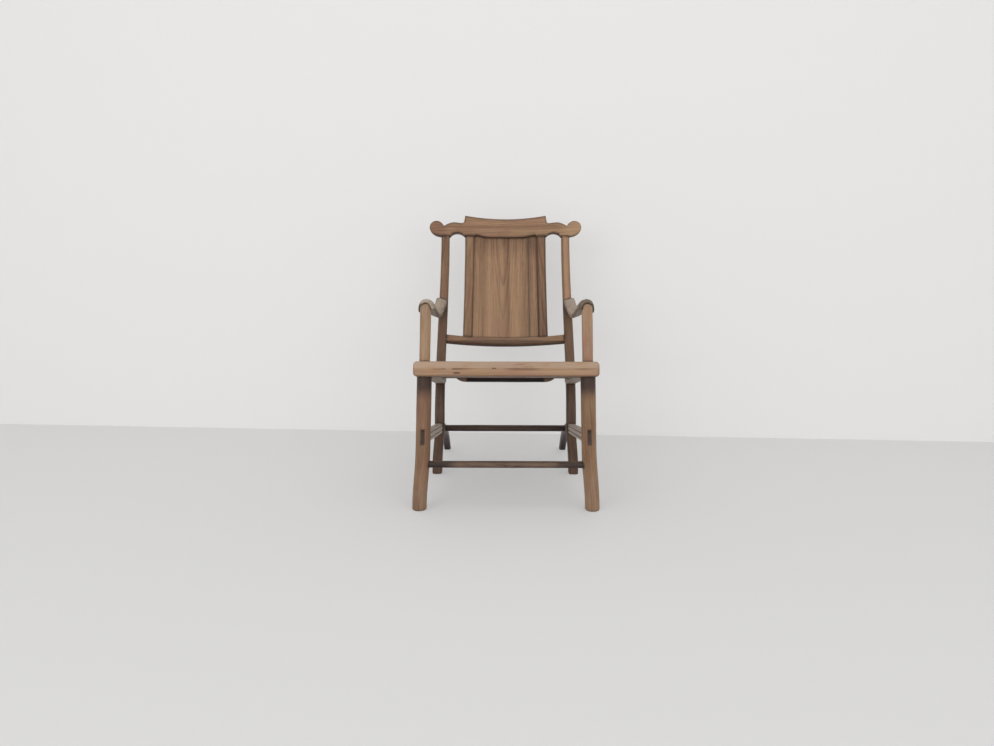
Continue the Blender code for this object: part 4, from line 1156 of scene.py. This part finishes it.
def seat_board(number):
    pitch = 2 * (SEAT_INNER_HALF - SEAM) / BOARD_COUNT
    x = -SEAT_INNER_HALF + SEAM + pitch * (number - 0.5)
    path = [SEAT @ Vector((x, u, -BOARD_THICKNESS / 2))
            for u in (FRONT_RAIL_DEPTH + SEAM, REAR_RAIL_FRONT - SEAM)]
    pith = (planks.uniform(-BOARD_PITH_ACROSS, BOARD_PITH_ACROSS),
            planks.choice((-1.0, 1.0)) * planks.uniform(*BOARD_PITH_THROUGH))
    mesh = swept_bar(path, pitch + BOARD_LAP, BOARD_THICKNESS, BOARD_EDGE, BOARD_POINTS, pith=pith)
    add_piece(f"seat_board_{number}", mesh, "panel_elm", even(tone=planks.uniform(*BOARD_TONES)))


def batten(label, setback):
    end = SEAT_INNER_HALF + LAP
    middle = -BOARD_THICKNESS - SEAM - BATTEN_HEIGHT / 2
    path = [SEAT @ Vector((x, FRONT_RAIL_DEPTH + setback, middle)) for x in (-end, end)]
    mesh = swept_bar(path, BATTEN_WIDTH, BATTEN_HEIGHT, BATTEN_EDGE, BATTEN_POINTS, tilt=SEAT_SLOPE)
    add_piece(f"seat_batten_{label}", mesh, "dark_elm")


# Arms


def arm_line(side):
    """Centre line of the arm from the stile to its nose, with each point's nearness to head and stile."""
    head = leg_point(side, ARM_HEAD_HEIGHT)
    rear_y = stile_y(ARM_REAR_HEIGHT)
    rear_x = side * (STILE_X + ARM_REAR_OFFSET)
    points = []
    for t in stations(1.0, 0.0, ARM_REAR_SECTIONS):
        z = mix(ARM_DIP_HEIGHT, ARM_REAR_HEIGHT, 1.0 - math.cos(math.pi / 2 * t))
        points.append((mix(ARM_DIP_Y, rear_y, t), z, 0.0, smoothstep(t)))
    for t in stations(0.0, 1.0, ARM_FRONT_SECTIONS)[1:]:
        z = mix(ARM_DIP_HEIGHT, ARM_HEAD_HEIGHT, smoothstep(t))
        points.append((mix(ARM_DIP_Y, head.y, t), z, smoothstep(t), 0.0))
    for tip in reversed([ARM_NOSE] + rounded_tip(ARM_NOSE_EASE)):
        if tip < ARM_NOSE:
            points.append((head.y - ARM_NOSE + tip, ARM_HEAD_HEIGHT, 1.0, 0.0))
    line = []
    for y, z, headward, rearward in points:
        share = (y - head.y) / (rear_y - head.y)
        line.append((Vector((mix(head.x, rear_x, share), y, z)), headward, rearward))
    return line


def arm(label, side):
    """Serpentine plank, arched over the post at its head, rolled inwards and scribed to the stile."""
    line = arm_line(side)
    nose = line[-1][0].y
    last = len(line) - 1
    rings = []
    for i, (centre, headward, rearward) in enumerate(line):
        along = line[min(i + 1, last)][0] - line[max(i - 1, 0)][0]
        inset = ease(centre.y - nose, ARM_NOSE_EASE)
        thick = mix(ARM_THICKNESS, ARM_HEAD_THICKNESS, headward)
        wide = mix(mix(ARM_WAIST, ARM_HEAD_WIDTH, headward), ARM_REAR_WIDTH, rearward)
        lip = headward * mix(-ARM_NOSE_TRIM, ARM_LIP, fade(centre.y, nose, ARM_LIP_SETBACK))
        outline = crowned_plank(wide, thick, ARM_HEAD_CROWN * headward, inset, headward, lip, side)
        turn = mix(mix(ARM_ROLL, 0.0, headward), ARM_REAR_ROLL, rearward)
        roll = Matrix.Rotation(-side * turn, 3, BACK)
        rings.append(ring(centre, roll @ RIGHT, roll @ upward(along), outline))
    face = stile_front(side)
    kept = [i for i, old in enumerate(rings)
            if max(face(point) for point in old.points) < -RUN_STEP / 2]
    back = (line[kept[0]][0] - line[kept[0] + 1][0]).normalized()
    rings = [scribed(rings[kept[0]], back, face)] + [rings[i] for i in kept]
    head_stain, head_tone, head_rub = ARM_HEAD_SHADES[label]

    def shade(point):
        head = fade(point.y, nose + ARM_HEAD_START, ARM_HEAD_SPAN)
        # Painted shade: the outer lip of the head is stained dark
        lip = head * fade(side * (point.x - leg_point(side, point.z).x), *ARM_LIP_EDGE)
        stain = max(head_stain * head, ARM_LIP_PAINTED_SHADE * lip)
        return stain, ARM_TONES[label] + head_tone * head, (ARM_RUB + head_rub * head) * (1.0 - lip)
    add_piece(f"arm_{label}", loft(rings), "weathered_elm", shade)


# Stretchers, wedges and rear legs


def side_stretcher(label, side):
    """Beaded bar between leg and stile, with the tenon that shows in the leg's front."""
    front, rear, along = stretcher_run(side)
    start = front + along * LEG_DIAMETER / 4
    bar = swept_bar([start, rear], SIDE_STRETCHER_WIDTH, SIDE_STRETCHER_HEIGHT, SIDE_STRETCHER_EDGE,
                    SIDE_STRETCHER_POINTS, groove=BEAD_GROOVE)
    for vertex in bar.vertices:
        rise = (vertex.co - start).dot(upward(along))
        share = (vertex.co - start).dot(along) / (rear - start).length
        top_taper = SIDE_STRETCHER_TOP_TAPER * share
        under_taper = SIDE_STRETCHER_UNDER_TAPER * (1.0 - share)
        vertex.co -= upward(along) * rise * (top_taper if rise > 0.0 else under_taper)
    tip = front - along * (LEG_DIAMETER / 2 - TENON_RECESS)
    rings = [ring(tip + along * distance, RIGHT, upward(along),
                  bar_section(TENON_THICK, TENON_TALL, 2 * TENON_EASE, ease(distance, TENON_EASE)))
             for distance in rounded_tip(TENON_EASE) + [LEG_DIAMETER / 2]]
    tenon_y = tip.y + LEG_DIAMETER / 4
    # Paler all over: wear by feet, and a painted highlight where the light under the seat is dim
    bar_shade = (0.0, SIDE_STRETCHER_TONES[label], SIDE_STRETCHER_RUB_AND_HIGHLIGHT)

    def shade(point):
        return TENON_SHADE if point.y < tenon_y else bar_shade
    add_piece(f"side_stretcher_{label}", joined([bar, loft(rings)]), "weathered_elm", shade)


def tenon_wedge(label, side):
    """Tapered wedge on the through tenon, its head in the leg's front."""
    front, _, along = stretcher_run(side)
    head = -LEG_DIAMETER / 2 + TENON_RECESS
    tip = LEG_DIAMETER / 4
    base = TENON_TALL / 2 + 2 * SEAM
    rings = []
    for reach in rounded_tip(TENON_EASE) + [tip - head]:
        share = reach / (tip - head)
        tall = mix(WEDGE_HEAD, WEDGE_TIP, share)
        outline = bar_section(TENON_THICK, tall, TENON_EASE, ease(reach, TENON_EASE))
        centre = front + along * (head + reach) + upward(along) * (base + tall / 2)
        rings.append(ring(centre, RIGHT, upward(along), outline))
    add_piece(f"tenon_wedge_{label}", loft(rings), "dark_elm", even(stain=WEDGE_STAIN))


def rear_leg_curve(side):
    """Stile joint, knee and foot of a quadratic curve; the knee is where the end tangents cross."""
    top = stile_point(side, SIDE_STRETCHER_REAR)
    foot = Vector((top.x, REAR_FOOT_Y, 0.0))
    run = REAR_LEG_FOOT_SLOPE * foot.y - top.z - REAR_LEG_TOP_SLOPE * top.y
    y = run / (REAR_LEG_FOOT_SLOPE - REAR_LEG_TOP_SLOPE)
    return top, Vector((top.x, y, REAR_LEG_FOOT_SLOPE * (foot.y - y))), foot


def rear_leg_point(side, t):
    top, knee, foot = rear_leg_curve(side)
    return top * (1 - t) ** 2 + knee * 2 * t * (1 - t) + foot * t * t


def rear_leg_along(side, t):
    top, knee, foot = rear_leg_curve(side)
    return ((knee - top) * (1 - t) + (foot - knee) * t).normalized()


def rear_leg(label, side):
    """Swept leg whose last section is slid along its own direction on to the floor."""
    rings = []
    for t in stations(0.0, 1.0, REAR_LEG_SECTIONS):
        along = rear_leg_along(side, t)
        outline = bar_section(REAR_LEG_WIDTH, mix(REAR_LEG_DEPTH, REAR_LEG_FOOT_DEPTH, t), REAR_LEG_EDGE)
        rings.append(ring(rear_leg_point(side, t), RIGHT, upward(along), outline))
    standing = [old for old in rings if min(point.z for point in old.points) > 0.0]
    floor = scribed(standing[-1], along, lambda point: -point.z)
    add_piece(f"rear_leg_{label}", loft(standing + [floor]), "dark_elm")


def front_stretcher():
    ends = [leg_point(side, FRONT_STRETCHER_HEIGHT) for side in SIDES.values()]
    edge = STRETCHER_ROUND * FRONT_STRETCHER_TALL
    mesh = swept_bar(ends, FRONT_STRETCHER_DEEP, FRONT_STRETCHER_TALL, edge, STRETCHER_POINTS)

    def shade(point):
        handled = fade(abs(point.x), *STRETCHER_HANDLED)
        return 0.0, FRONT_STRETCHER_TONE + HANDLED_TONE * handled, HANDLED_RUB * handled
    add_piece("front_stretcher", mesh, "dark_elm", shade)


def rear_stretcher():
    ends = [rear_leg_point(side, REAR_STRETCHER_PLACE) for side in SIDES.values()]
    edge = STRETCHER_ROUND * REAR_STRETCHER_DEEP
    mesh = swept_bar(ends, REAR_STRETCHER_DEEP, REAR_STRETCHER_TALL, edge, STRETCHER_POINTS)
    add_piece("rear_stretcher", mesh, "dark_elm", even(tone=REAR_STRETCHER_TONE))


# Surface of the finished pieces


def vectors(collection, name):
    values = np.zeros(len(collection) * 3, np.float32)
    collection.foreach_get(name, values)
    return values.reshape(-1, 3)


def share_between(values, low, high):
    return np.clip((values - low) / (high - low), 0.0, 1.0)


def hand_worked(mesh):
    """Slightly uneven faces and nicked edges, as a plane, a scraper and long use leave them."""
    places = vectors(mesh.vertices, "co")
    normals = vectors(mesh.vertices, "normal")
    worn, _ = bend(mesh)
    for i, place in enumerate(places):
        at = Vector(place)
        push = WOBBLE * noise.noise(at * WOBBLE_SCALE) + TOOLING * noise.noise(at * TOOLING_SCALE)
        if worn[i] > NICK_EDGE:
            push -= NICK * max(0.0, noise.noise(at * NICK_SCALE + UP) - NICK_START)
        places[i] += push * normals[i]
    mesh.vertices.foreach_set("co", places.ravel())
    mesh.update()


def bend(mesh):
    """How far each point is an outer edge and how far a hollow, 0 to 1, from the surface's bend."""
    places = vectors(mesh.vertices, "co")
    normals = vectors(mesh.vertices, "normal")
    ends = np.zeros(len(mesh.edges) * 2, np.int32)
    mesh.edges.foreach_get("vertices", ends)
    a, b = ends.reshape(-1, 2).T
    run = places[b] - places[a]
    run_squared = (run ** 2).sum(1)
    bent = ((normals[b] - normals[a]) * run).sum(1) / np.maximum(run_squared, SHORTEST_SQUARED)
    shares = []
    for sign, (low, high) in ((1.0, WORN_BEND), (-1.0, HOLLOW_BEND)):
        most = np.zeros(len(places))
        np.maximum.at(most, a, sign * bent)
        np.maximum.at(most, b, sign * bent)
        shares.append(share_between(most, low, high))
    spread = np.exp(-np.sqrt(run_squared) / GRIME_SPREAD)
    for _ in range(GRIME_PASSES):
        hollow = shares[1].copy()
        np.maximum.at(shares[1], a, spread * hollow[b])
        np.maximum.at(shares[1], b, spread * hollow[a])
    return shares


def tree_of(mesh):
    corners = [tuple(polygon.vertices) for polygon in mesh.polygons]
    return BVHTree.FromPolygons([vertex.co for vertex in mesh.vertices], corners)


def family(index):
    return pieces[index][1].rsplit("_", 1)[0]


def joint_reach(pair):
    """How far a joint's dirt spreads: little between boards, in a wedged joint and round the panel."""
    if pair == PANEL_SEAM:
        return PANEL_SEAM_REACH
    if pair == PANEL_JOINT:
        return PANEL_REACH
    return JOINT_REACH if len(pair) == 1 or pair <= WEDGED_JOINT else GRIME_REACH


def near_others(index, trees, boxes):
    """How close each point of a piece is to the other pieces, 1 where they meet."""
    places = vectors(pieces[index][0].data.vertices, "co")
    closest = np.ones(len(places))
    for other, tree in enumerate(trees):
        if other == index:
            continue
        pair = {family(index), family(other)}
        reach = joint_reach(pair)
        cleaned = PANEL_SEAM_CLEAN if pair == PANEL_SEAM else 0.0
        low, high = boxes[other]
        inside = ((places > low - reach) & (places < high + reach)).all(1)
        for i in np.flatnonzero(inside):
            nearest = tree.find_nearest(places[i], GRIME_REACH)[3]
            if nearest is not None:
                closest[i] = min(closest[i], max(nearest / reach, cleaned))
    return 1.0 - closest


def age(finishes):
    """Works every surface, then stores its wear, grime, staining with painted shade, and tone, and gives
    it its finish.
    """
    for piece, _, _, _ in pieces:
        hand_worked(piece.data)
    trees = [tree_of(piece.data) for piece, _, _, _ in pieces]
    corners = [vectors(piece.data.vertices, "co") for piece, _, _, _ in pieces]
    boxes = [(places.min(0), places.max(0)) for places in corners]
    for index, (piece, node, finish, shade) in enumerate(pieces):
        mesh = piece.data
        lift = vectors(mesh.vertices, "normal")[:, 2]
        edge, hollow = bend(mesh)
        stained, tone, rubbed = np.array([shade(vertex.co) for vertex in mesh.vertices]).T
        wear = np.maximum(rubbed, TOP_WEAR * share_between(lift, *TOP_LIFT))
        grime = np.maximum(hollow, near_others(index, trees, boxes))
        # Painted shade with old dark finish on faces turned down, and painted shade on rounded edges
        under = UNDER_STAIN_AND_SHADE * share_between(-lift, *UNDER_LIFT)
        shaded_undersides_and_edges = np.maximum(under, EDGE_PAINTED_SHADE * edge) * np.maximum(1.0 - rubbed, 0.0)
        patina_and_shade = np.column_stack([wear, grime, np.maximum(stained, shaded_undersides_and_edges), tone])
        stored = mesh.attributes.new("patina_and_shade", "FLOAT_COLOR", "POINT")
        stored.data.foreach_set("color", patina_and_shade.astype(np.float32).ravel())
        mesh.shade_smooth()
        mesh.set_sharp_from_angle(angle=SHARP_ANGLE)
        mesh.materials.clear()
        mesh.materials.append(finishes[finish])
        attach(piece, "root")
        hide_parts(node)


# Finishes


Look = namedtuple("Look", "pale deep worn stained grime flush roughness")
LOOKS = {
    "warm_elm": Look((0.40, 0.245, 0.135), (0.105, 0.050, 0.024), (0.38, 0.278, 0.203),
                     (0.050, 0.027, 0.019), (0.030, 0.017, 0.012), (0.37, 0.195, 0.125), 0.46),
    "panel_elm": Look((0.41, 0.250, 0.140), (0.110, 0.054, 0.027), (0.40, 0.27, 0.175),
                      (0.055, 0.030, 0.022), (0.032, 0.018, 0.013), (0.385, 0.220, 0.132), 0.48),
    "weathered_elm": Look((0.39, 0.306, 0.236), (0.125, 0.090, 0.064), (0.45, 0.375, 0.310),
                          (0.050, 0.032, 0.024), (0.026, 0.018, 0.013), (0.355, 0.266, 0.204), 0.60),
    "dark_elm": Look((0.150, 0.088, 0.060), (0.030, 0.019, 0.014), (0.270, 0.170, 0.115),
                     (0.014, 0.006, 0.007), (0.012, 0.008, 0.006), (0.130, 0.065, 0.048), 0.48),
}

# Grain: noise is stretched along the timber, and a pair is where a feature starts and where it is full
RING_WIDTH = 0.0075
RING_TAPER = 0.045
RING_LEAST = 0.2
RING_VARIETY = 1.1
GRAIN_SWAY = 0.016
SWAY_SCALE = (2.2, 14.0, 14.0)
FLUSH_SCALE = (7.0, 11.0, 11.0)
STREAK_SCALE = (1.6, 85.0, 85.0)
STREAK_ROUGHNESS = 0.62
BROAD_SCALE = (1.1, 22.0, 22.0)
FIBRE_SCALE = (30.0, 1100.0, 1100.0)
PATCH_SCALE = (16.0, 60.0, 60.0)
PATCH_ROUGHNESS = 0.6
LATE_WOOD = (0.30, 0.90)
YEAR_END = (0.92, 1.0)
PORES = (0.58, 0.72)
FLUSHED = (0.43, 0.76)
RUBBED = (0.44, 0.76)
SETTLED = (0.25, 1.05)
PORE_CLOSED = 0.6
PORE_DARK = 0.45

# Share of each feature in the depth of the colour, the roughness and the relief
USUAL_DEPTH = 0.47
STREAK_DEPTH = 0.85
BROAD_DEPTH = 1.05
RING_DEPTH = 0.19
USUAL_LATE = 0.3
PATCH_DEPTH = 0.40
STAIN_AND_SHADE_SHARE = (0.70, 0.60)
RUB_REACH = 0.2
RUB_SHARE = (0.55, -0.50)
GRIME_SHARE = (0.45, 0.9)
GRIME_COVER = 0.85
PORE_ROUGH = 0.16
STREAK_ROUGH = 0.20
RUBBED_ROUGH = -0.10
GRIME_ROUGH = 0.2
RING_RELIEF = 0.35
PORE_RELIEF = -0.8
STREAK_RELIEF = 0.6
RELIEF_STRENGTH = 0.4
RELIEF_DEPTH = 0.0006
SPECULAR = 0.3


def elm(name, look):
    """Elm as solid timber: yearly rings round the pith, long streaks and open pores, under its wear,
    grime, staining and painted shade.
    """
    material = bpy.data.materials.new(name)
    material.use_nodes = True
    tree = material.node_tree
    shader = tree.nodes["Principled BSDF"]
    source = Signal(shader.outputs[0])
    timber = source.node("ShaderNodeAttribute", {"attribute_name": "timber"}, None, "Vector")
    patina_and_shade = source.node("ShaderNodeAttribute", {"attribute_name": "patina_and_shade"}, None, "Vector")
    tone = Signal(patina_and_shade.socket.node.outputs["Alpha"])
    wear, grime, stain = patina_and_shade.parts()
    along, across, through = timber.parts()
    sway_across, sway_through, _ = timber.noise(SWAY_SCALE, 1.0, output="Color").parts()
    flush = timber.noise(FLUSH_SCALE, 1.0)
    across = across + GRAIN_SWAY * (sway_across - 0.5)
    through = through + GRAIN_SWAY * (sway_through - 0.5)
    radius = along.math("SQRT", across * across + through * through) - RING_TAPER * along
    year = radius / RING_WIDTH
    season = year.math("FRACT", year)
    growth = year.node("ShaderNodeTexWhiteNoise", {"noise_dimensions": "1D"},
                       {"W": year.math("FLOOR", year)})
    late = season.step(*LATE_WOOD) * (1.0 - season.step(*YEAR_END)) * (RING_LEAST + RING_VARIETY * growth)
    streak = timber.noise(STREAK_SCALE, 3.0, STREAK_ROUGHNESS)
    broad = timber.noise(BROAD_SCALE, 2.0)
    fibre = timber.noise(FIBRE_SCALE, 2.0)
    patchy = timber.noise(PATCH_SCALE, 3.0, PATCH_ROUGHNESS)
    pore = fibre.step(*PORES) * (1.0 - PORE_CLOSED * late)
    depth = USUAL_DEPTH + STREAK_DEPTH * (streak - 0.5) + BROAD_DEPTH * (broad - 0.5)
    depth = depth + RING_DEPTH * (late - USUAL_LATE) + tone + PATCH_DEPTH * (patchy - 0.5)
    pale = flush.step(*FLUSHED).blend((*look.pale, 1.0), (*look.flush, 1.0))
    colour = depth.clamped().blend(pale, (*look.deep, 1.0))
    colour = (PORE_DARK * pore).blend(colour, (*look.grime, 1.0))
    # The staining channel also carries painted shade and painted shadow
    darkening = stain * patchy.line(*STAIN_AND_SHADE_SHARE)
    colour = darkening.clamped().blend(colour, (*look.stained, 1.0))
    rubbed = wear * (patchy + RUB_REACH * wear).step(*RUBBED) * stain.line(*RUB_SHARE)
    colour = rubbed.clamped().blend(colour, (*look.worn, 1.0))
    settled = (grime * patchy.line(*GRIME_SHARE)).step(*SETTLED) * GRIME_COVER
    colour = settled.blend(colour, (*look.grime, 1.0))
    tree.links.new(colour.socket, shader.inputs["Base Color"])
    shader.inputs["Specular IOR Level"].default_value = SPECULAR
    rough = look.roughness + PORE_ROUGH * pore + STREAK_ROUGH * (streak - 0.5)
    rough = rough + RUBBED_ROUGH * rubbed + GRIME_ROUGH * settled
    tree.links.new(rough.socket, shader.inputs["Roughness"])
    height = RING_RELIEF * late + PORE_RELIEF * pore + STREAK_RELIEF * (streak - 0.5)
    relief = height.node("ShaderNodeBump", None,
                         {"Height": height, "Strength": RELIEF_STRENGTH, "Distance": RELIEF_DEPTH})
    tree.links.new(relief.socket, shader.inputs["Normal"])
    return material


# Stage, light and camera


WALL_Y = 0.674
WALL_TURN = math.radians(-3.95)
STAGE_HALF = 6.0
WALL_COLOUR = (0.77, 0.765, 0.757)
FLOOR_COLOUR = (0.68, 0.676, 0.672)
STAGE_ROUGHNESS = 0.8
PALE_SHARE = 0.42
Lamp = namedtuple("Lamp", "place size power")
LAMPS = {
    "key_left": Lamp((-2.6, -4.2, 1.7), 2.4, 52.0),
    "key_right": Lamp((2.2, -4.2, 1.7), 2.4, 36.0),
    "ceiling": Lamp((0.0, -1.6, 3.6), 4.0, 12.0),
}
AIM = (0.0, 0.0, 0.5)
SKY = 0.82


def stage_finish(name, colour):
    """Matt sheet whose shadows the camera sees paler; from behind it is clear and shows the chair."""
    material = bpy.data.materials.new(name)
    material.use_nodes = True
    nodes = material.node_tree.nodes
    matt = nodes["Principled BSDF"]
    matt.inputs["Base Color"].default_value = (*colour, 1.0)
    matt.inputs["Roughness"].default_value = STAGE_ROUGHNESS
    shown = Signal(matt.outputs[0])
    rays = shown.node("ShaderNodeLightPath").socket.node.outputs
    seen = Signal(rays["Is Camera Ray"]) + Signal(rays["Is Glossy Ray"])
    seen = seen + Signal(rays["Is Transmission Ray"])
    pale = shown.node("ShaderNodeEmission", None, {"Color": (*colour, 1.0)})
    shown = shown.node("ShaderNodeMixShader", None, {0: PALE_SHARE * seen, 1: shown, 2: pale})
    from_behind = shown.node("ShaderNodeNewGeometry", None, None, "Backfacing")
    clear = shown.node("ShaderNodeBsdfTransparent")
    shown = shown.node("ShaderNodeMixShader", None, {0: from_behind, 1: shown, 2: clear})
    material.node_tree.links.new(shown.socket, nodes["Material Output"].inputs["Surface"])
    return material


def stage_sheet(name, left, right, rise, colour):
    """Four-cornered sheet between two corners and the same two moved by a rise."""
    corners = [left, right, right + rise, left + rise]
    mesh = bpy.data.meshes.new(name)
    mesh.from_pydata(corners, [], [(0, 1, 2, 3)])
    mesh.materials.append(stage_finish(name, colour))
    sheet = placed(name, mesh)


def build_stage():
    """Pale floor, and a plain pale backdrop that stands close behind the chair."""
    across = RIGHT * STAGE_HALF
    near = BACK * -STAGE_HALF
    stage_sheet("floor", near - across, near + across, -2.0 * near, FLOOR_COLOUR)
    middle = BACK * WALL_Y
    across = across + BACK * STAGE_HALF * math.tan(WALL_TURN)
    stage_sheet("backdrop", middle - across, middle + across, UP * STAGE_HALF, WALL_COLOUR)


def add_lamp(name, lamp):
    light = bpy.data.lights.new(name, "AREA")
    light.size = lamp.size
    light.energy = lamp.power
    holder = placed(name, light)
    holder.location = lamp.place
    holder.rotation_euler = (Vector(AIM) - Vector(lamp.place)).to_track_quat("-Z", "Y").to_euler()


def build_light():
    for name, lamp in LAMPS.items():
        add_lamp(name, lamp)
    world = bpy.data.worlds.new("studio")
    world.use_nodes = True
    sky = world.node_tree.nodes["Background"].inputs
    sky["Color"].default_value = (1.0, 1.0, 1.0, 1.0)
    sky["Strength"].default_value = SKY
    bpy.context.scene.world = world
    bpy.context.scene.view_settings.view_transform = "Standard"


def build_camera():
    lens = bpy.data.cameras.new("camera")
    lens.sensor_width = SENSOR_WIDTH
    lens.lens = FOCAL_PIXELS / PHOTO_WIDTH * SENSOR_WIDTH
    holder = placed("camera", lens)
    holder.matrix_world = (Matrix.Translation(CAMERA_PLACE) @ Matrix.Rotation(CAMERA_YAW, 4, "Z")
                           @ Matrix.Rotation(math.pi / 2 - CAMERA_PITCH, 4, "X")
                           @ Matrix.Rotation(CAMERA_ROLL, 4, "Z"))
    bpy.context.scene.camera = holder


def build_chair():
    for label, side in SIDES.items():
        front_leg(label, side)
        stile(label, side)
        inner_post(label, side)
        arm(label, side)
        side_rail(label, side)
        side_stretcher(label, side)
        tenon_wedge(label, side)
        rear_leg(label, side)
    crest_rail()
    lower_rail()
    edge = PANEL_HALF + PANEL_TONGUE
    panel_board("wide", -edge, PANEL_JOINT_X + PANEL_LAP, WIDE_PANEL_PITH, WIDE_PANEL_TONE)
    panel_board("narrow", PANEL_JOINT_X - PANEL_LAP, edge, NARROW_PANEL_PITH, NARROW_PANEL_TONE)
    front_rail()
    rear_rail()
    for number in range(1, BOARD_COUNT + 1):
        seat_board(number)
    for label, setback in BATTEN_SETBACKS.items():
        batten(label, setback)
    front_stretcher()
    rear_stretcher()
    age({name: elm(name, look) for name, look in LOOKS.items()})


build_camera()
build_light()
build_stage()
build_chair()
